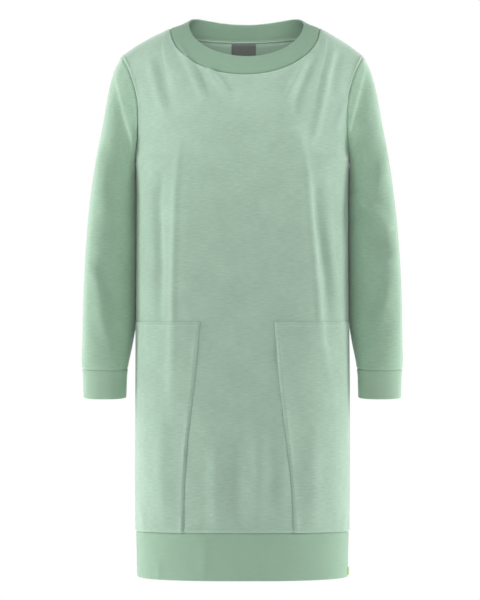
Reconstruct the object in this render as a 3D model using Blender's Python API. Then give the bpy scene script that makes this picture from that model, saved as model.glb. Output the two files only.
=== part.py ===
"""Sweatshirt dress in its worn, filled-out form: one hollow cloth wall for each sewn piece.

Metres, +Z up. The front faces -Y and the wearer's left side is +X. The origin lies midway
between the two high points of the neck, where the wearer's shoulders carry the dress.
Every table is in millimetres and degrees. A level is the height of a cross line at its
two side edges, so front and back share the same levels along the side seams.
"""
import math
from typing import NamedTuple

import bpy
import numpy as np

MM = 0.001

# Cloth
JERSEY_WALL = 1.6
BAND_WALL = 2.2
LABEL_WALL = 1.0
HALF_SEAM_GAP = 0.2
LAY_GAP = 0.35

# Levels that divide the body
HEM_BOTTOM = -921.5
HEM_SEAM = -847.4
POCKET_TOP = -502.0
UNDERARM = -236.0
CHEST = -155.0
SHOULDER_TIP = -65.5

# Rows of cells in each stretch of the body, from the hem seam up
SKIRT_ROWS = 9
WAIST_ROWS = 9
ARMHOLE_ROWS = 5
ARMHOLE_CROWDING = 1.6
YOKE_ROWS = 7
YOKE_CROWDING = 1.5

# Columns of cells across a panel: shoulder seam, neck opening, shoulder seam
SHOULDER_CELLS = 5
NECK_CELLS = 14
NECK_SHARE = 0.6
COLUMNS = 2 * SHOULDER_CELLS + NECK_CELLS

# Neck seam and shoulder seams
NECK_X = 4.3
NECK_HALF_WIDTH = 123.0
NECK_SIDE_Y = 5.0
NECK_SIDE_Z = -18.5
NECK_FRONT_Y = -88.0
NECK_FRONT_Z = -100.4
NECK_BACK_Y = 75.0
NECK_BACK_Z = -35.0
NECK_ROUNDNESS = 0.68
YOKE_SLOPE = 1.6
YOKE_SPREAD = 0.75
SEAM_SLOPE = 0.5
FRONT_YOKE_TURN = 0.68
BACK_YOKE_TURN = 1.6
SHOULDER_DROP = 40.0
SHOULDER_ROUND = 7.0
TIP_X = 200.0
TIP_Y = 6.0

# Upper edge of the neckband
COLLAR_X = 6.4
COLLAR_HALF_WIDTH = 94.6
COLLAR_SIDE_Y = -1.0
COLLAR_SIDE_Z = -5.0
COLLAR_FRONT_Y = -73.0
COLLAR_FRONT_Z = -70.0
COLLAR_BACK_Y = 59.0
COLLAR_BACK_RISE = 22.3
COLLAR_BACK_FALL = 24.9
COLLAR_ROUNDNESS = 0.75
COLLAR_ROLL = 2.0
COLLAR_ROWS = 3

# Bands at hem and wrists
HEM_BAND_ROWS = 3
HEM_BAND_DRAW_IN = 1.5
CUFF_ROWS = 3
CUFF_HEIGHT = 47.5
CUFF_STEP = 0.9
CUFF_TAPER = 1.4
SLEEVE_ROWS = 24

# Label and tab
LABEL_ROWS = (3.4, 3.0, 2.0, 1.0)
LABEL_COLUMNS = (-0.68, 0.0, 0.84)
TAB_HEIGHT = 12.5
TAB_LIFT = 1.5
TAB_LENGTH_SHARE = 0.62


class EdgeRow(NamedTuple):
    """One point of the side seam or of an armhole."""

    level: float
    x: float
    y: float


class FormRow(NamedTuple):
    """Centre line and roundness of one cross line of a panel."""

    level: float
    z_centre: float
    y_centre: float
    edge_angle: float
    fullness: float


class PocketRow(NamedTuple):
    """Inner seams of the two pockets at one height."""

    z: float
    x_right: float
    x_left: float


class SleeveRow(NamedTuple):
    """One ring of a sleeve: outer and inner points, depth, tilt, roundness, lean back of the inner side."""

    station: float
    x_out: float
    z_out: float
    x_in: float
    z_in: float
    y_mid: float
    half_depth: float
    tilt: float
    roundness: float
    lean: float


class Fold(NamedTuple):
    """A soft ridge, or a trough where height is negative, along a line in the X-Z view."""

    faces: str
    height: float
    width: float
    line: tuple


SIDE_SEAM = (
    EdgeRow(HEM_BOTTOM, 175.0, 3.0),
    EdgeRow(HEM_SEAM, 175.0, 3.0),
    EdgeRow(-740.0, 175.6, 3.0),
    EdgeRow(-620.0, 175.6, 3.0),
    EdgeRow(POCKET_TOP, 175.0, 3.0),
    EdgeRow(-400.0, 174.2, 3.0),
    EdgeRow(-320.0, 174.0, 3.0),
    EdgeRow(-262.0, 174.6, 3.5),
    EdgeRow(UNDERARM, 175.6, 4.0),
)
ARMHOLE_FRONT = (
    EdgeRow(UNDERARM, 175.6, 4.0),
    EdgeRow(-222.0, 174.6, -20.0),
    EdgeRow(-201.0, 172.0, -38.0),
    EdgeRow(-177.0, 171.2, -48.0),
    EdgeRow(CHEST, 171.4, -49.0),
    EdgeRow(-129.0, 175.0, -45.0),
    EdgeRow(-101.0, 183.0, -36.0),
    EdgeRow(-83.0, 190.5, -25.0),
    EdgeRow(-71.0, 197.0, -12.0),
    EdgeRow(SHOULDER_TIP, TIP_X, TIP_Y),
)
ARMHOLE_BACK = (
    EdgeRow(UNDERARM, 175.6, 4.0),
    EdgeRow(-222.0, 175.0, 26.0),
    EdgeRow(-201.0, 174.5, 44.0),
    EdgeRow(-177.0, 174.5, 53.0),
    EdgeRow(CHEST, 175.0, 56.0),
    EdgeRow(-128.0, 178.0, 53.0),
    EdgeRow(-100.0, 184.0, 45.0),
    EdgeRow(-82.0, 191.0, 34.0),
    EdgeRow(-71.0, 197.0, 22.0),
    EdgeRow(SHOULDER_TIP, TIP_X, TIP_Y),
)
FRONT_FORM = (
    FormRow(HEM_BOTTOM, -920.5, -117.0, 90.0, 2.35),
    FormRow(HEM_SEAM, -843.0, -118.0, 90.0, 2.35),
    FormRow(-740.0, -737.0, -117.0, 90.0, 2.35),
    FormRow(-620.0, -618.0, -115.0, 90.0, 2.3),
    FormRow(POCKET_TOP, -502.0, -112.0, 90.0, 2.3),
    FormRow(-400.0, -400.0, -107.5, 90.0, 2.27),
    FormRow(-320.0, -323.0, -107.0, 90.0, 2.32),
    FormRow(-262.0, -268.0, -111.5, 90.0, 2.42),
    FormRow(UNDERARM, -243.0, -115.0, 89.0, 2.42),
    FormRow(-222.0, -230.0, -118.5, 80.0, 2.3),
    FormRow(-201.0, -213.0, -121.5, 71.0, 2.2),
    FormRow(-177.0, -193.0, -122.0, 63.0, 2.2),
    FormRow(CHEST, -173.0, -118.5, 57.0, 2.2),
)
BACK_FORM = (
    FormRow(HEM_BOTTOM, -921.5, 111.0, 90.0, 2.35),
    FormRow(HEM_SEAM, -848.0, 112.0, 90.0, 2.35),
    FormRow(-740.0, -740.0, 112.0, 90.0, 2.35),
    FormRow(-620.0, -620.0, 109.5, 90.0, 2.3),
    FormRow(POCKET_TOP, -502.0, 105.5, 90.0, 2.3),
    FormRow(-400.0, -400.0, 101.5, 90.0, 2.3),
    FormRow(-320.0, -320.0, 102.0, 90.0, 2.38),
    FormRow(-262.0, -264.0, 104.5, 90.0, 2.4),
    FormRow(UNDERARM, -239.0, 106.0, 89.0, 2.38),
    FormRow(-222.0, -225.0, 106.8, 80.0, 2.28),
    FormRow(-201.0, -205.0, 107.5, 72.0, 2.2),
    FormRow(-177.0, -181.0, 107.5, 64.0, 2.2),
    FormRow(CHEST, -158.0, 106.0, 58.0, 2.2),
)
POCKET_SEAMS = (
    PocketRow(-843.0, -94.6, 83.0),
    PocketRow(-786.0, -94.0, 80.0),
    PocketRow(-706.0, -89.0, 71.5),
    PocketRow(-601.0, -77.5, 59.5),
    PocketRow(POCKET_TOP, -68.6, 51.8),
)
SLEEVE_FORM = (
    SleeveRow(0.00, 200.0, -65.5, 175.6, -236.0, 4.0, 50.0, 0.0, 0.0, 0.0),
    SleeveRow(0.06, 212.5, -92.0, 178.2, -245.0, 4.5, 52.0, 0.0, 0.35, 2.0),
    SleeveRow(0.13, 222.0, -130.0, 176.9, -260.0, 7.0, 54.0, 0.0, 0.75, 8.0),
    SleeveRow(0.22, 230.0, -178.0, 174.8, -284.0, 11.0, 54.0, 0.0, 1.0, 15.0),
    SleeveRow(0.32, 240.5, -232.0, 173.6, -314.0, 13.0, 53.0, 0.0, 1.0, 18.0),
    SleeveRow(0.43, 249.0, -290.0, 173.4, -352.0, 13.0, 52.0, 0.0, 1.0, 18.0),
    SleeveRow(0.54, 255.5, -350.0, 173.6, -394.0, 12.0, 51.0, 0.0, 1.0, 18.0),
    SleeveRow(0.66, 260.0, -415.0, 174.0, -441.0, 10.0, 49.0, 0.0, 1.0, 18.0),
    SleeveRow(0.78, 262.5, -478.0, 175.0, -492.0, 7.0, 46.0, 0.6, 1.0, 16.0),
    SleeveRow(0.88, 263.5, -530.0, 180.4, -535.0, 3.0, 43.0, 1.4, 1.0, 10.0),
    SleeveRow(0.95, 264.5, -562.0, 186.0, -563.5, -1.0, 39.5, 2.2, 1.0, 4.0),
    SleeveRow(1.00, 264.0, -579.5, 188.8, -579.5, -3.0, 37.0, 2.8, 1.0, 0.0),
)
FOLDS = (
    Fold("front", 3.5, 13.0, ((-113, -277), (-117, -450), (-117, -561), (-121, -653))),
    Fold("front", -3.0, 12.0, ((-137, -300), (-134, -485))),
    Fold("front", 4.0, 13.0, ((108, -280), (109, -338), (118, -434), (126, -525), (139, -581), (154, -624))),
    Fold("front", -3.0, 11.0, ((121, -284), (142, -436))),
    Fold("front", 2.0, 11.0, ((142, -340), (154, -470))),
    Fold("front", 2.2, 10.0, ((-86, -80), (-60, -134))),
    Fold("front", 2.0, 10.0, ((-57, -98), (-18, -138))),
    Fold("front", 2.2, 10.0, ((104, -78), (70, -150))),
    Fold("front", 2.2, 13.0, ((146, -84), (124, -188))),
    Fold("front", 2.5, 18.0, ((35, -690), (34, -838))),
    Fold("front", 2.0, 16.0, ((-34, -740), (-34, -842))),
    Fold("back", 3.5, 16.0, ((72, -290), (66, -470), (74, -700))),
    Fold("back", -3.0, 14.0, ((44, -310), (40, -520))),
    Fold("back", 3.5, 16.0, ((-64, -300), (-70, -500), (-60, -740))),
    Fold("back", 2.5, 14.0, ((128, -330), (132, -600))),
    Fold("back", 2.5, 14.0, ((-132, -280), (-126, -560))),
    Fold("back", 2.2, 14.0, ((118, -110), (84, -210))),
    Fold("back", 2.2, 14.0, ((-112, -104), (-84, -200))),
    Fold("back", 2.5, 18.0, ((8, -640), (4, -838))),
    Fold("front", 3.0, 10.0, ((204, -94), (196, -122), (188, -152), (182, -182))),
    Fold("front", 3.0, 10.0, ((-208, -104), (-199, -140), (-191, -170), (-184, -198))),
    Fold("front", -2.5, 9.0, ((197, -312), (242, -356))),
    Fold("front", 2.5, 9.0, ((-242, -424), (-224, -506))),
    Fold("front", 2.0, 9.0, ((-239, -455), (-209, -548))),
    Fold("back", 2.5, 10.0, ((206, -330), (246, -300))),
    Fold("back", 2.5, 10.0, ((-204, -350), (-246, -322))),
)


class Sheet:
    """Grid of points on the outer face of one cloth piece: rows run up, columns run round."""

    def __init__(self, name, points, wraps, wall):
        self.name = name
        self.points = points
        self.wraps = wraps
        self.wall = wall
        self.normals = np.zeros_like(points)


def smooth(stations, values, at):
    """Read a table's value between its rows, with rounded turns and no overshoot."""
    steps = np.diff(stations)
    rises = np.diff(values) / steps
    slopes = np.zeros(len(values))
    slopes[0] = rises[0]
    slopes[-1] = rises[-1]
    for i in range(1, len(values) - 1):
        if rises[i - 1] * rises[i] > 0:
            slopes[i] = 2 * rises[i - 1] * rises[i] / (rises[i - 1] + rises[i])
    k = int(np.clip(np.searchsorted(stations, at) - 1, 0, len(steps) - 1))
    share = (at - stations[k]) / steps[k]
    return hermite(values[k], values[k + 1], slopes[k] * steps[k], slopes[k + 1] * steps[k], share)


def hermite(start, end, leave, arrive, share):
    """Cubic from start to end with the two end tangents given."""
    square = share * share
    cube = square * share
    out = (2 * cube - 3 * square + 1) * start + (cube - 2 * square + share) * leave
    return out + (3 * square - 2 * cube) * end + (cube - square) * arrive


def read_row(table, at):
    """Every column of a table at one station, the table's first column."""
    columns = np.array(table, dtype=float).T
    return [smooth(columns[0], column, at) for column in columns]


def unit(vector):
    """The vector at length one."""
    return vector / np.linalg.norm(vector)


def edge_point(armhole, level, side):
    """Point on the side seam, or on one panel's armhole above it."""
    table = SIDE_SEAM if level <= UNDERARM else armhole
    _, x, y = read_row(table, level)
    return np.array([side * x, y, level])


def arc_point(form, armhole, level, across):
    """Point of a panel below the yoke; across runs from -1 to 1 between its side edges."""
    _, z_centre, y_centre, edge_angle, fullness = read_row(form, level)
    half_width, y_edge = edge_point(armhole, level, 1.0)[:2]
    power = 2.0 / fullness
    edge = math.radians(edge_angle)
    angle = edge * abs(across)
    sideways = (math.sin(angle) / math.sin(edge)) ** power
    edge_cosine = max(math.cos(edge), 0.0) ** power
    ahead = (max(math.cos(angle), 0.0) ** power - edge_cosine) / (1.0 - edge_cosine)
    x = math.copysign(half_width * sideways, across)
    y = y_edge + (y_centre - y_edge) * ahead
    z = z_centre + (level - z_centre) * across ** 2
    return np.array([x, y, z])


def top_point(is_front, across):
    """Point on a panel's upper edge: shoulder seam, neck seam, shoulder seam."""
    if abs(across) >= NECK_SHARE:
        out = (abs(across) - NECK_SHARE) / (1.0 - NECK_SHARE)
        neck_x = NECK_X + math.copysign(NECK_HALF_WIDTH, across)
        x = neck_x + (math.copysign(TIP_X, across) - neck_x) * out
        y = NECK_SIDE_Y + (TIP_Y - NECK_SIDE_Y) * out
        z = NECK_SIDE_Z - SHOULDER_DROP * out - SHOULDER_ROUND * out ** 4
        return np.array([x, y, z])
    turn = 0.5 * math.pi * across / NECK_SHARE
    y_centre = NECK_FRONT_Y if is_front else NECK_BACK_Y
    z_centre = NECK_FRONT_Z if is_front else NECK_BACK_Z
    x = NECK_X + NECK_HALF_WIDTH * math.sin(turn)
    y = NECK_SIDE_Y + (y_centre - NECK_SIDE_Y) * math.cos(turn) ** NECK_ROUNDNESS
    z = NECK_SIDE_Z + (z_centre - NECK_SIDE_Z) * math.cos(turn)
    return np.array([x, y, z])


def yoke_column(is_front, form, armhole, across, rise):
    """Point on the column that climbs from the chest line to the upper edge."""
    start = arc_point(form, armhole, CHEST, across)
    below = arc_point(form, armhole, CHEST - 6.0, across)
    end = top_point(is_front, across)
    reach = np.linalg.norm(end - start)
    turn = 0.5 * math.pi * min(1.0, abs(across) / NECK_SHARE)
    upright = YOKE_SLOPE * max(math.cos(turn), 0.0) ** (FRONT_YOKE_TURN if is_front else BACK_YOKE_TURN)
    outward = max(0.0, (abs(across) - NECK_SHARE) / (1.0 - NECK_SHARE))
    inward = YOKE_SPREAD * math.sin(turn) * (1.0 - outward) ** 1.5
    over = 1.0 if is_front else -1.0
    arrive = unit(np.array([-math.copysign(inward, across), over, upright + SEAM_SLOPE * inward]))
    return hermite(start, end, unit(start - below) * reach, arrive * reach, rise)


def yoke_point(is_front, form, armhole, level, across):
    """Point of a panel between the chest line and its upper edge."""
    rise = (level - CHEST) / (SHOULDER_TIP - CHEST)
    side = math.copysign(1.0, across)
    point = yoke_column(is_front, form, armhole, across, rise)
    pull = edge_point(armhole, level, side) - yoke_column(is_front, form, armhole, side, rise)
    return point + pull * abs(across) ** 5


def panel_point(is_front, level, across):
    """Point of the front or back panel."""
    form = FRONT_FORM if is_front else BACK_FORM
    armhole = ARMHOLE_FRONT if is_front else ARMHOLE_BACK
    if level <= CHEST:
        return arc_point(form, armhole, level, across)
    return yoke_point(is_front, form, armhole, level, across)


def body_levels():
    """Levels of the rows from the hem seam to the shoulder tip."""
    skirt = np.linspace(HEM_SEAM, POCKET_TOP, SKIRT_ROWS + 1)
    waist = np.linspace(POCKET_TOP, UNDERARM, WAIST_ROWS + 1)
    climb = np.linspace(0.0, 1.0, ARMHOLE_ROWS + 1) ** ARMHOLE_CROWDING
    armhole = UNDERARM + (CHEST - UNDERARM) * climb
    fall = np.linspace(1.0, 0.0, YOKE_ROWS + 1) ** YOKE_CROWDING
    yoke = SHOULDER_TIP + (CHEST - SHOULDER_TIP) * fall
    return np.concatenate([skirt, waist[1:], armhole[1:], yoke[1:]])


def column_shares():
    """Places of the columns across a panel, from -1 to 1."""
    outer = np.linspace(-1.0, -NECK_SHARE, SHOULDER_CELLS + 1)
    middle = np.linspace(-NECK_SHARE, NECK_SHARE, NECK_CELLS + 1)
    return np.concatenate([outer, middle[1:-1], -outer[::-1]])


def pocket_column(side):
    """Index of the front column that runs down a pocket's inner seam."""
    return COLUMNS // 2 + int(side) * 3


def pocket_share(level, x):
    """Place across the skirt front whose X is the one given."""
    fullness = read_row(FRONT_FORM, level)[4]
    half_width = edge_point(ARMHOLE_FRONT, level, 1.0)[0]
    sine = (abs(x) / half_width) ** (fullness / 2.0)
    return math.copysign(math.asin(sine) / (0.5 * math.pi), x)


def front_share(level, across):
    """Place of a front column at one level, bent so that two columns follow the pocket seams."""
    shares = column_shares()
    _, x_right, x_left = read_row(POCKET_SEAMS, float(np.clip(level, -843.0, POCKET_TOP)))
    anchors = [-1.0, shares[pocket_column(-1)], shares[pocket_column(1)], 1.0]
    places = [-1.0, pocket_share(level, x_right), pocket_share(level, x_left), 1.0]
    bent = float(np.interp(across, anchors, places))
    ease = float(np.clip((level + 300.0) / (POCKET_TOP + 300.0), 0.0, 1.0))
    return across + (bent - across) * ease * ease * (3.0 - 2.0 * ease)


def front_points():
    """Master grid of the front panel, columns from -X to +X."""
    rows = []
    for level in body_levels():
        rows.append([panel_point(True, level, front_share(level, s)) for s in column_shares()])
    return np.array(rows)


def back_points():
    """Master grid of the back panel, columns from +X to -X."""
    rows = []
    for level in body_levels():
        rows.append([panel_point(False, level, -s) for s in column_shares()])
    return np.array(rows)


def hem_band_points(panel, is_front):
    """Master grid of a hem band, whose upper row is the panel's lower row."""
    form = FRONT_FORM if is_front else BACK_FORM
    centre_z = read_row(form, HEM_BOTTOM)[1]
    rows = []
    for i in range(HEM_BAND_ROWS + 1):
        fall = (HEM_BAND_ROWS - i) / HEM_BAND_ROWS
        row = panel[0].copy()
        share = row[:, 0] / row[-1, 0]
        bottom = centre_z + (HEM_BOTTOM - centre_z) * share ** 2
        row[:, 2] += (bottom - row[:, 2]) * fall
        drawn_in = 1.0 - HEM_BAND_DRAW_IN * fall / abs(row[-1, 0])
        row[:, 0] *= drawn_in
        row[:, 1] *= drawn_in
        rows.append(row)
    return np.array(rows)


def neck_ring(front, back):
    """Points of the neck seam, round from the front's -X side, with each one's turn."""
    first = SHOULDER_CELLS
    last = SHOULDER_CELLS + NECK_CELLS
    ring = np.concatenate([front[-1, first:last], back[-1, first:last]])
    turns = [math.pi * (i / NECK_CELLS - 0.5) for i in range(2 * NECK_CELLS)]
    return ring, turns


def collar_point(turn):
    """Point on the neckband's upper edge; the turn is 0 at the front and pi at the back."""
    ahead = math.cos(turn)
    x = COLLAR_X + COLLAR_HALF_WIDTH * math.sin(turn)
    if ahead >= 0.0:
        y = COLLAR_SIDE_Y + (COLLAR_FRONT_Y - COLLAR_SIDE_Y) * ahead ** COLLAR_ROUNDNESS
        z = COLLAR_SIDE_Z + (COLLAR_FRONT_Z - COLLAR_SIDE_Z) * ahead
        return np.array([x, y, z])
    behind = -ahead
    y = COLLAR_SIDE_Y + (COLLAR_BACK_Y - COLLAR_SIDE_Y) * behind ** COLLAR_ROUNDNESS
    z = COLLAR_SIDE_Z + COLLAR_BACK_RISE * behind - COLLAR_BACK_FALL * behind ** 2
    return np.array([x, y, z])


def neckband_points(front, back):
    """Master grid of the neckband, from the neck seam to its upper edge."""
    ring, turns = neck_ring(front, back)
    upper = np.array([collar_point(turn) for turn in turns])
    centre = np.array([NECK_X, 0.0, 0.0])
    rows = []
    for i in range(COLLAR_ROWS + 1):
        share = i / COLLAR_ROWS
        row = ring + (upper - ring) * share
        away = (row - centre) * np.array([1.0, 1.0, 0.0])
        away /= np.linalg.norm(away, axis=1, keepdims=True)
        rows.append(row + away * COLLAR_ROLL * math.sin(math.pi * share))
    return np.array(rows)


def armhole_ring(front, back, side):
    """Armhole points in ring order, seen from above round against the clock."""
    first = SKIRT_ROWS + WAIST_ROWS
    front_edge = front[first:, -1 if side > 0 else 0]
    back_edge = back[first:, 0 if side > 0 else -1]
    if side > 0:
        return np.concatenate([front_edge[:-1], back_edge[:0:-1]])
    return np.concatenate([back_edge[:-1], front_edge[:0:-1]])


def sleeve_ring(armhole, side, row):
    """One ring of a sleeve: the armhole's shape, rounded off to an oval down the arm."""
    _, x_out, z_out, x_in, z_in, y_mid, half_depth, tilt, roundness, lean = row
    start = SLEEVE_FORM[0]
    start_middle = np.array([0.5 * (start.x_out + start.x_in), start.y_mid, 0.5 * (start.z_out + start.z_in)])
    start_half = np.array([0.5 * (start.x_out - start.x_in), 0.0, 0.5 * (start.z_out - start.z_in)])
    start_size = np.linalg.norm(start_half)
    middle = np.array([0.5 * (x_out + x_in), y_mid, 0.5 * (z_out + z_in)])
    half = np.array([0.5 * (x_out - x_in), 0.0, 0.5 * (z_out - z_in)])
    off_plane = unit(np.array([half[2], 0.0, -half[0]]))
    start_off_plane = unit(np.array([start_half[2], 0.0, -start_half[0]]))
    count = len(armhole)
    points = []
    for i, seam_point in enumerate(armhole):
        local = seam_point * np.array([side, 1.0, 1.0]) - start_middle
        climb = np.dot(local, start_half) / start_size ** 2
        depth = local[1] / start.half_depth
        bulge = np.dot(local, start_off_plane)
        seam_turn = math.acos(float(np.clip(-climb, -1.0, 1.0)))
        seam_turn = seam_turn if i <= count // 2 else 2.0 * math.pi - seam_turn
        turn = seam_turn + (2.0 * math.pi * i / count - seam_turn) * roundness
        climb += (-math.cos(turn) - climb) * roundness
        oval_depth = -side * math.sin(turn)
        depth += (oval_depth - depth) * roundness
        point = middle + half * climb + off_plane * bulge * (1.0 - roundness)
        point[1] = y_mid + half_depth * depth - lean * climb
        point[2] += tilt * depth
        points.append(point * np.array([side, 1.0, 1.0]))
    return np.array(points)


def sleeve_points(front, back, side):
    """Master grid of a sleeve, from the cuff seam up to the armhole."""
    armhole = armhole_ring(front, back, side)
    rows = []
    for i in range(SLEEVE_ROWS):
        station = 1.0 - (i / SLEEVE_ROWS)
        rows.append(sleeve_ring(armhole, side, read_row(SLEEVE_FORM, station)))
    rows.append(armhole)
    return np.array(rows)


def cuff_points(sleeve):
    """Master grid of a cuff, whose upper row is the sleeve's lower row."""
    seam = sleeve[0]
    centre = seam.mean(axis=0)
    rows = []
    for i in range(CUFF_ROWS + 1):
        fall = (CUFF_ROWS - i) / CUFF_ROWS
        away = (seam - centre) * np.array([1.0, 1.0, 0.0])
        away /= np.linalg.norm(away, axis=1, keepdims=True)
        drawn_in = CUFF_STEP * min(1.0, 3.0 * fall) + CUFF_TAPER * fall
        row = seam - away * drawn_in
        row[:, 2] -= CUFF_HEIGHT * fall
        rows.append(row)
    return np.array(rows)


def cell_corners(points, wraps):
    """The four corner grids of a sheet's cells."""
    if wraps:
        following = np.roll(points, -1, axis=1)
        return points[:-1], following[:-1], following[1:], points[1:]
    return points[:-1, :-1], points[:-1, 1:], points[1:, 1:], points[1:, :-1]


def point_key(point):
    """Name of a place, the same for every sheet that meets there."""
    return tuple(int(value) for value in np.round(point * 1000.0))


def share_normals(sheets):
    """Give each point the mean normal of all cells round it, also across the seams."""
    sums = {}
    for sheet in sheets:
        corners = cell_corners(sheet.points, sheet.wraps)
        facing = np.cross(corners[2] - corners[0], corners[3] - corners[1])
        for grid in corners:
            for point, normal in zip(grid.reshape(-1, 3), facing.reshape(-1, 3)):
                key = point_key(point)
                sums[key] = sums.get(key, np.zeros(3)) + normal
    for sheet in sheets:
        flat = [unit(sums[point_key(point)]) for point in sheet.points.reshape(-1, 3)]
        sheet.normals = np.array(flat).reshape(sheet.points.shape)


def fold_height(point, normal):
    """Height of all folds at one point of the cloth."""
    total = 0.0
    spot = np.array([point[0], point[2]])
    for fold in FOLDS:
        facing = -normal[1] if fold.faces == "front" else normal[1]
        weight = float(np.clip((facing - 0.1) / 0.3, 0.0, 1.0))
        if weight == 0.0:
            continue
        line = np.array(fold.line, dtype=float)
        lengths = np.linalg.norm(np.diff(line, axis=0), axis=1)
        best_distance = math.inf
        best_share = 0.0
        passed = 0.0
        for start, end, length in zip(line[:-1], line[1:], lengths):
            along = float(np.clip(np.dot(spot - start, end - start) / length ** 2, 0.0, 1.0))
            distance = float(np.linalg.norm(start + (end - start) * along - spot))
            if distance < best_distance:
                best_distance = distance
                best_share = (passed + along * length) / lengths.sum()
            passed += length
        taper = math.sin(math.pi * best_share) ** 0.7 if 0.0 < best_share < 1.0 else 0.0
        total += weight * taper * fold.height * math.exp(-((best_distance / fold.width) ** 2))
    return total


def raise_folds(sheets):
    """Move every point out, or in, by the height of the folds there."""
    share_normals(sheets)
    for sheet in sheets:
        moved = sheet.points.copy()
        for index in np.ndindex(sheet.points.shape[:2]):
            normal = sheet.normals[index]
            moved[index] += normal * fold_height(sheet.points[index], normal)
        sheet.points = moved
    share_normals(sheets)


def rim_loops(sheet):
    """Index loops round a sheet's rims, with the cloth on the left."""
    rows, columns = sheet.points.shape[:2]
    if sheet.wraps:
        low = [(0, c) for c in range(columns)]
        high = [(rows - 1, c) for c in reversed(range(columns))]
        return [low, high]
    loop = [(0, c) for c in range(columns - 1)]
    loop += [(r, columns - 1) for r in range(rows - 1)]
    loop += [(rows - 1, c) for c in range(columns - 1, 0, -1)]
    loop += [(r, 0) for r in range(rows - 1, 0, -1)]
    return [loop]


def draw_back_rims(sheet, distance):
    """Points of a sheet whose rims are drawn back from the seam lines."""
    drawn = sheet.points.copy()
    for loop in rim_loops(sheet):
        for i, index in enumerate(loop):
            last = loop[i - 1]
            following = loop[(i + 1) % len(loop)]
            here = sheet.points[index]
            normal = sheet.normals[index]
            before = unit(np.cross(normal + sheet.normals[last], here - sheet.points[last]))
            after = unit(np.cross(normal + sheet.normals[following], sheet.points[following] - here))
            mitre = (before + after) / max(1.0 + float(np.dot(before, after)), 0.5)
            drawn[index] += mitre * distance
    return drawn


def wall_object(name, outer, inner, seam_points, wraps, colour, roughness):
    """Closed object between an outer and an inner grid of points, in millimetres."""
    rows, columns = outer.shape[:2]
    vertices = np.concatenate([outer.reshape(-1, 3), inner.reshape(-1, 3)]) * MM
    inner_start = rows * columns
    faces = []

    def out(r, c):
        return r * columns + c % columns

    def within(r, c):
        return inner_start + out(r, c)

    def rim(start, end):
        """Two triangles of a rim; both pieces at a seam cut theirs along the same diagonal."""
        start_key = point_key(seam_points[start[0], start[1] % columns])
        end_key = point_key(seam_points[end[0], end[1] % columns])
        if start_key < end_key:
            faces.append((out(*start), within(*start), within(*end)))
            faces.append((out(*start), within(*end), out(*end)))
        else:
            faces.append((out(*start), within(*start), out(*end)))
            faces.append((within(*start), within(*end), out(*end)))

    cells = columns if wraps else columns - 1
    top = rows - 1
    for r in range(top):
        for c in range(cells):
            faces.append((out(r, c), out(r, c + 1), out(r + 1, c + 1)))
            faces.append((out(r, c), out(r + 1, c + 1), out(r + 1, c)))
            faces.append((within(r, c), within(r + 1, c + 1), within(r, c + 1)))
            faces.append((within(r, c), within(r + 1, c), within(r + 1, c + 1)))
    for c in range(cells):
        rim((0, c), (0, c + 1))
        rim((top, c + 1), (top, c))
    if not wraps:
        for r in range(top):
            rim((r + 1, 0), (r, 0))
            rim((r, cells), (r + 1, cells))
    mesh = bpy.data.meshes.new(name)
    mesh.from_pydata(vertices.tolist(), [], faces)
    mesh.shade_smooth()
    mesh.materials.append(fabric(name, colour, roughness))
    item = bpy.data.objects.new(name, mesh)
    bpy.context.scene.collection.objects.link(item)
    return item


def fabric(name, colour, roughness):
    """Material of one cloth piece, its colour given as sRGB hex."""
    made = bpy.data.materials.new(name + "_fabric")
    made.use_nodes = True
    shader = made.node_tree.nodes["Principled BSDF"]
    linear = []
    for i in (0, 2, 4):
        value = int(colour[i:i + 2], 16) / 255.0
        linear.append(value / 12.92 if value <= 0.04045 else ((value + 0.055) / 1.055) ** 2.4)
    shader.inputs["Base Color"].default_value = (*linear, 1.0)
    shader.inputs["Roughness"].default_value = roughness
    shader.inputs["Metallic"].default_value = 0.0
    return made


def cloth_object(sheet, colour):
    """Wall of one sewn piece."""
    outer = draw_back_rims(sheet, HALF_SEAM_GAP)
    inner = outer - sheet.normals * sheet.wall
    return wall_object(sheet.name, outer, inner, sheet.points, sheet.wraps, colour, 0.9)


def pocket_object(name, front, side, colour):
    """Pocket panel, made from the front panel's own points moved out."""
    inner_column = pocket_column(side)
    columns = slice(0, inner_column + 1) if side < 0 else slice(inner_column, None)
    lying = Sheet(name, front.points[:SKIRT_ROWS + 1, columns], False, JERSEY_WALL)
    lying.normals = front.normals[:SKIRT_ROWS + 1, columns]
    base = draw_back_rims(lying, 2.0 * HALF_SEAM_GAP)
    under = base + lying.normals * LAY_GAP
    outer = under + lying.normals * lying.wall
    return wall_object(name, outer, under, base, False, colour, 0.9)


def between(grid, row, column):
    """Value of a grid at a place between its rows and columns."""
    low = min(int(row), len(grid) - 2)
    near = int(column)
    up = row - low
    on = column - near
    lower = grid[low, near] * (1.0 - on) + grid[low, near + 1] * on
    upper = grid[low + 1, near] * (1.0 - on) + grid[low + 1, near + 1] * on
    return lower * (1.0 - up) + upper * up


def label_object(name, back, colour):
    """Neck label on the inner face of the back panel, its upper edge at the neck seam."""
    rows = [len(back.points) - below for below in LABEL_ROWS]
    columns = [COLUMNS // 2 - aside for aside in reversed(LABEL_COLUMNS)]
    points = np.array([[between(back.points, r, c) for c in columns] for r in rows])
    lying = Sheet(name, points, False, LABEL_WALL)
    lying.normals = np.array([[unit(between(back.normals, r, c)) for c in columns] for r in rows])
    base = draw_back_rims(lying, HALF_SEAM_GAP)
    near = base - lying.normals * (back.wall + LAY_GAP)
    return wall_object(name, near, near - lying.normals * lying.wall, base, False, colour, 0.6)


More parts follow.
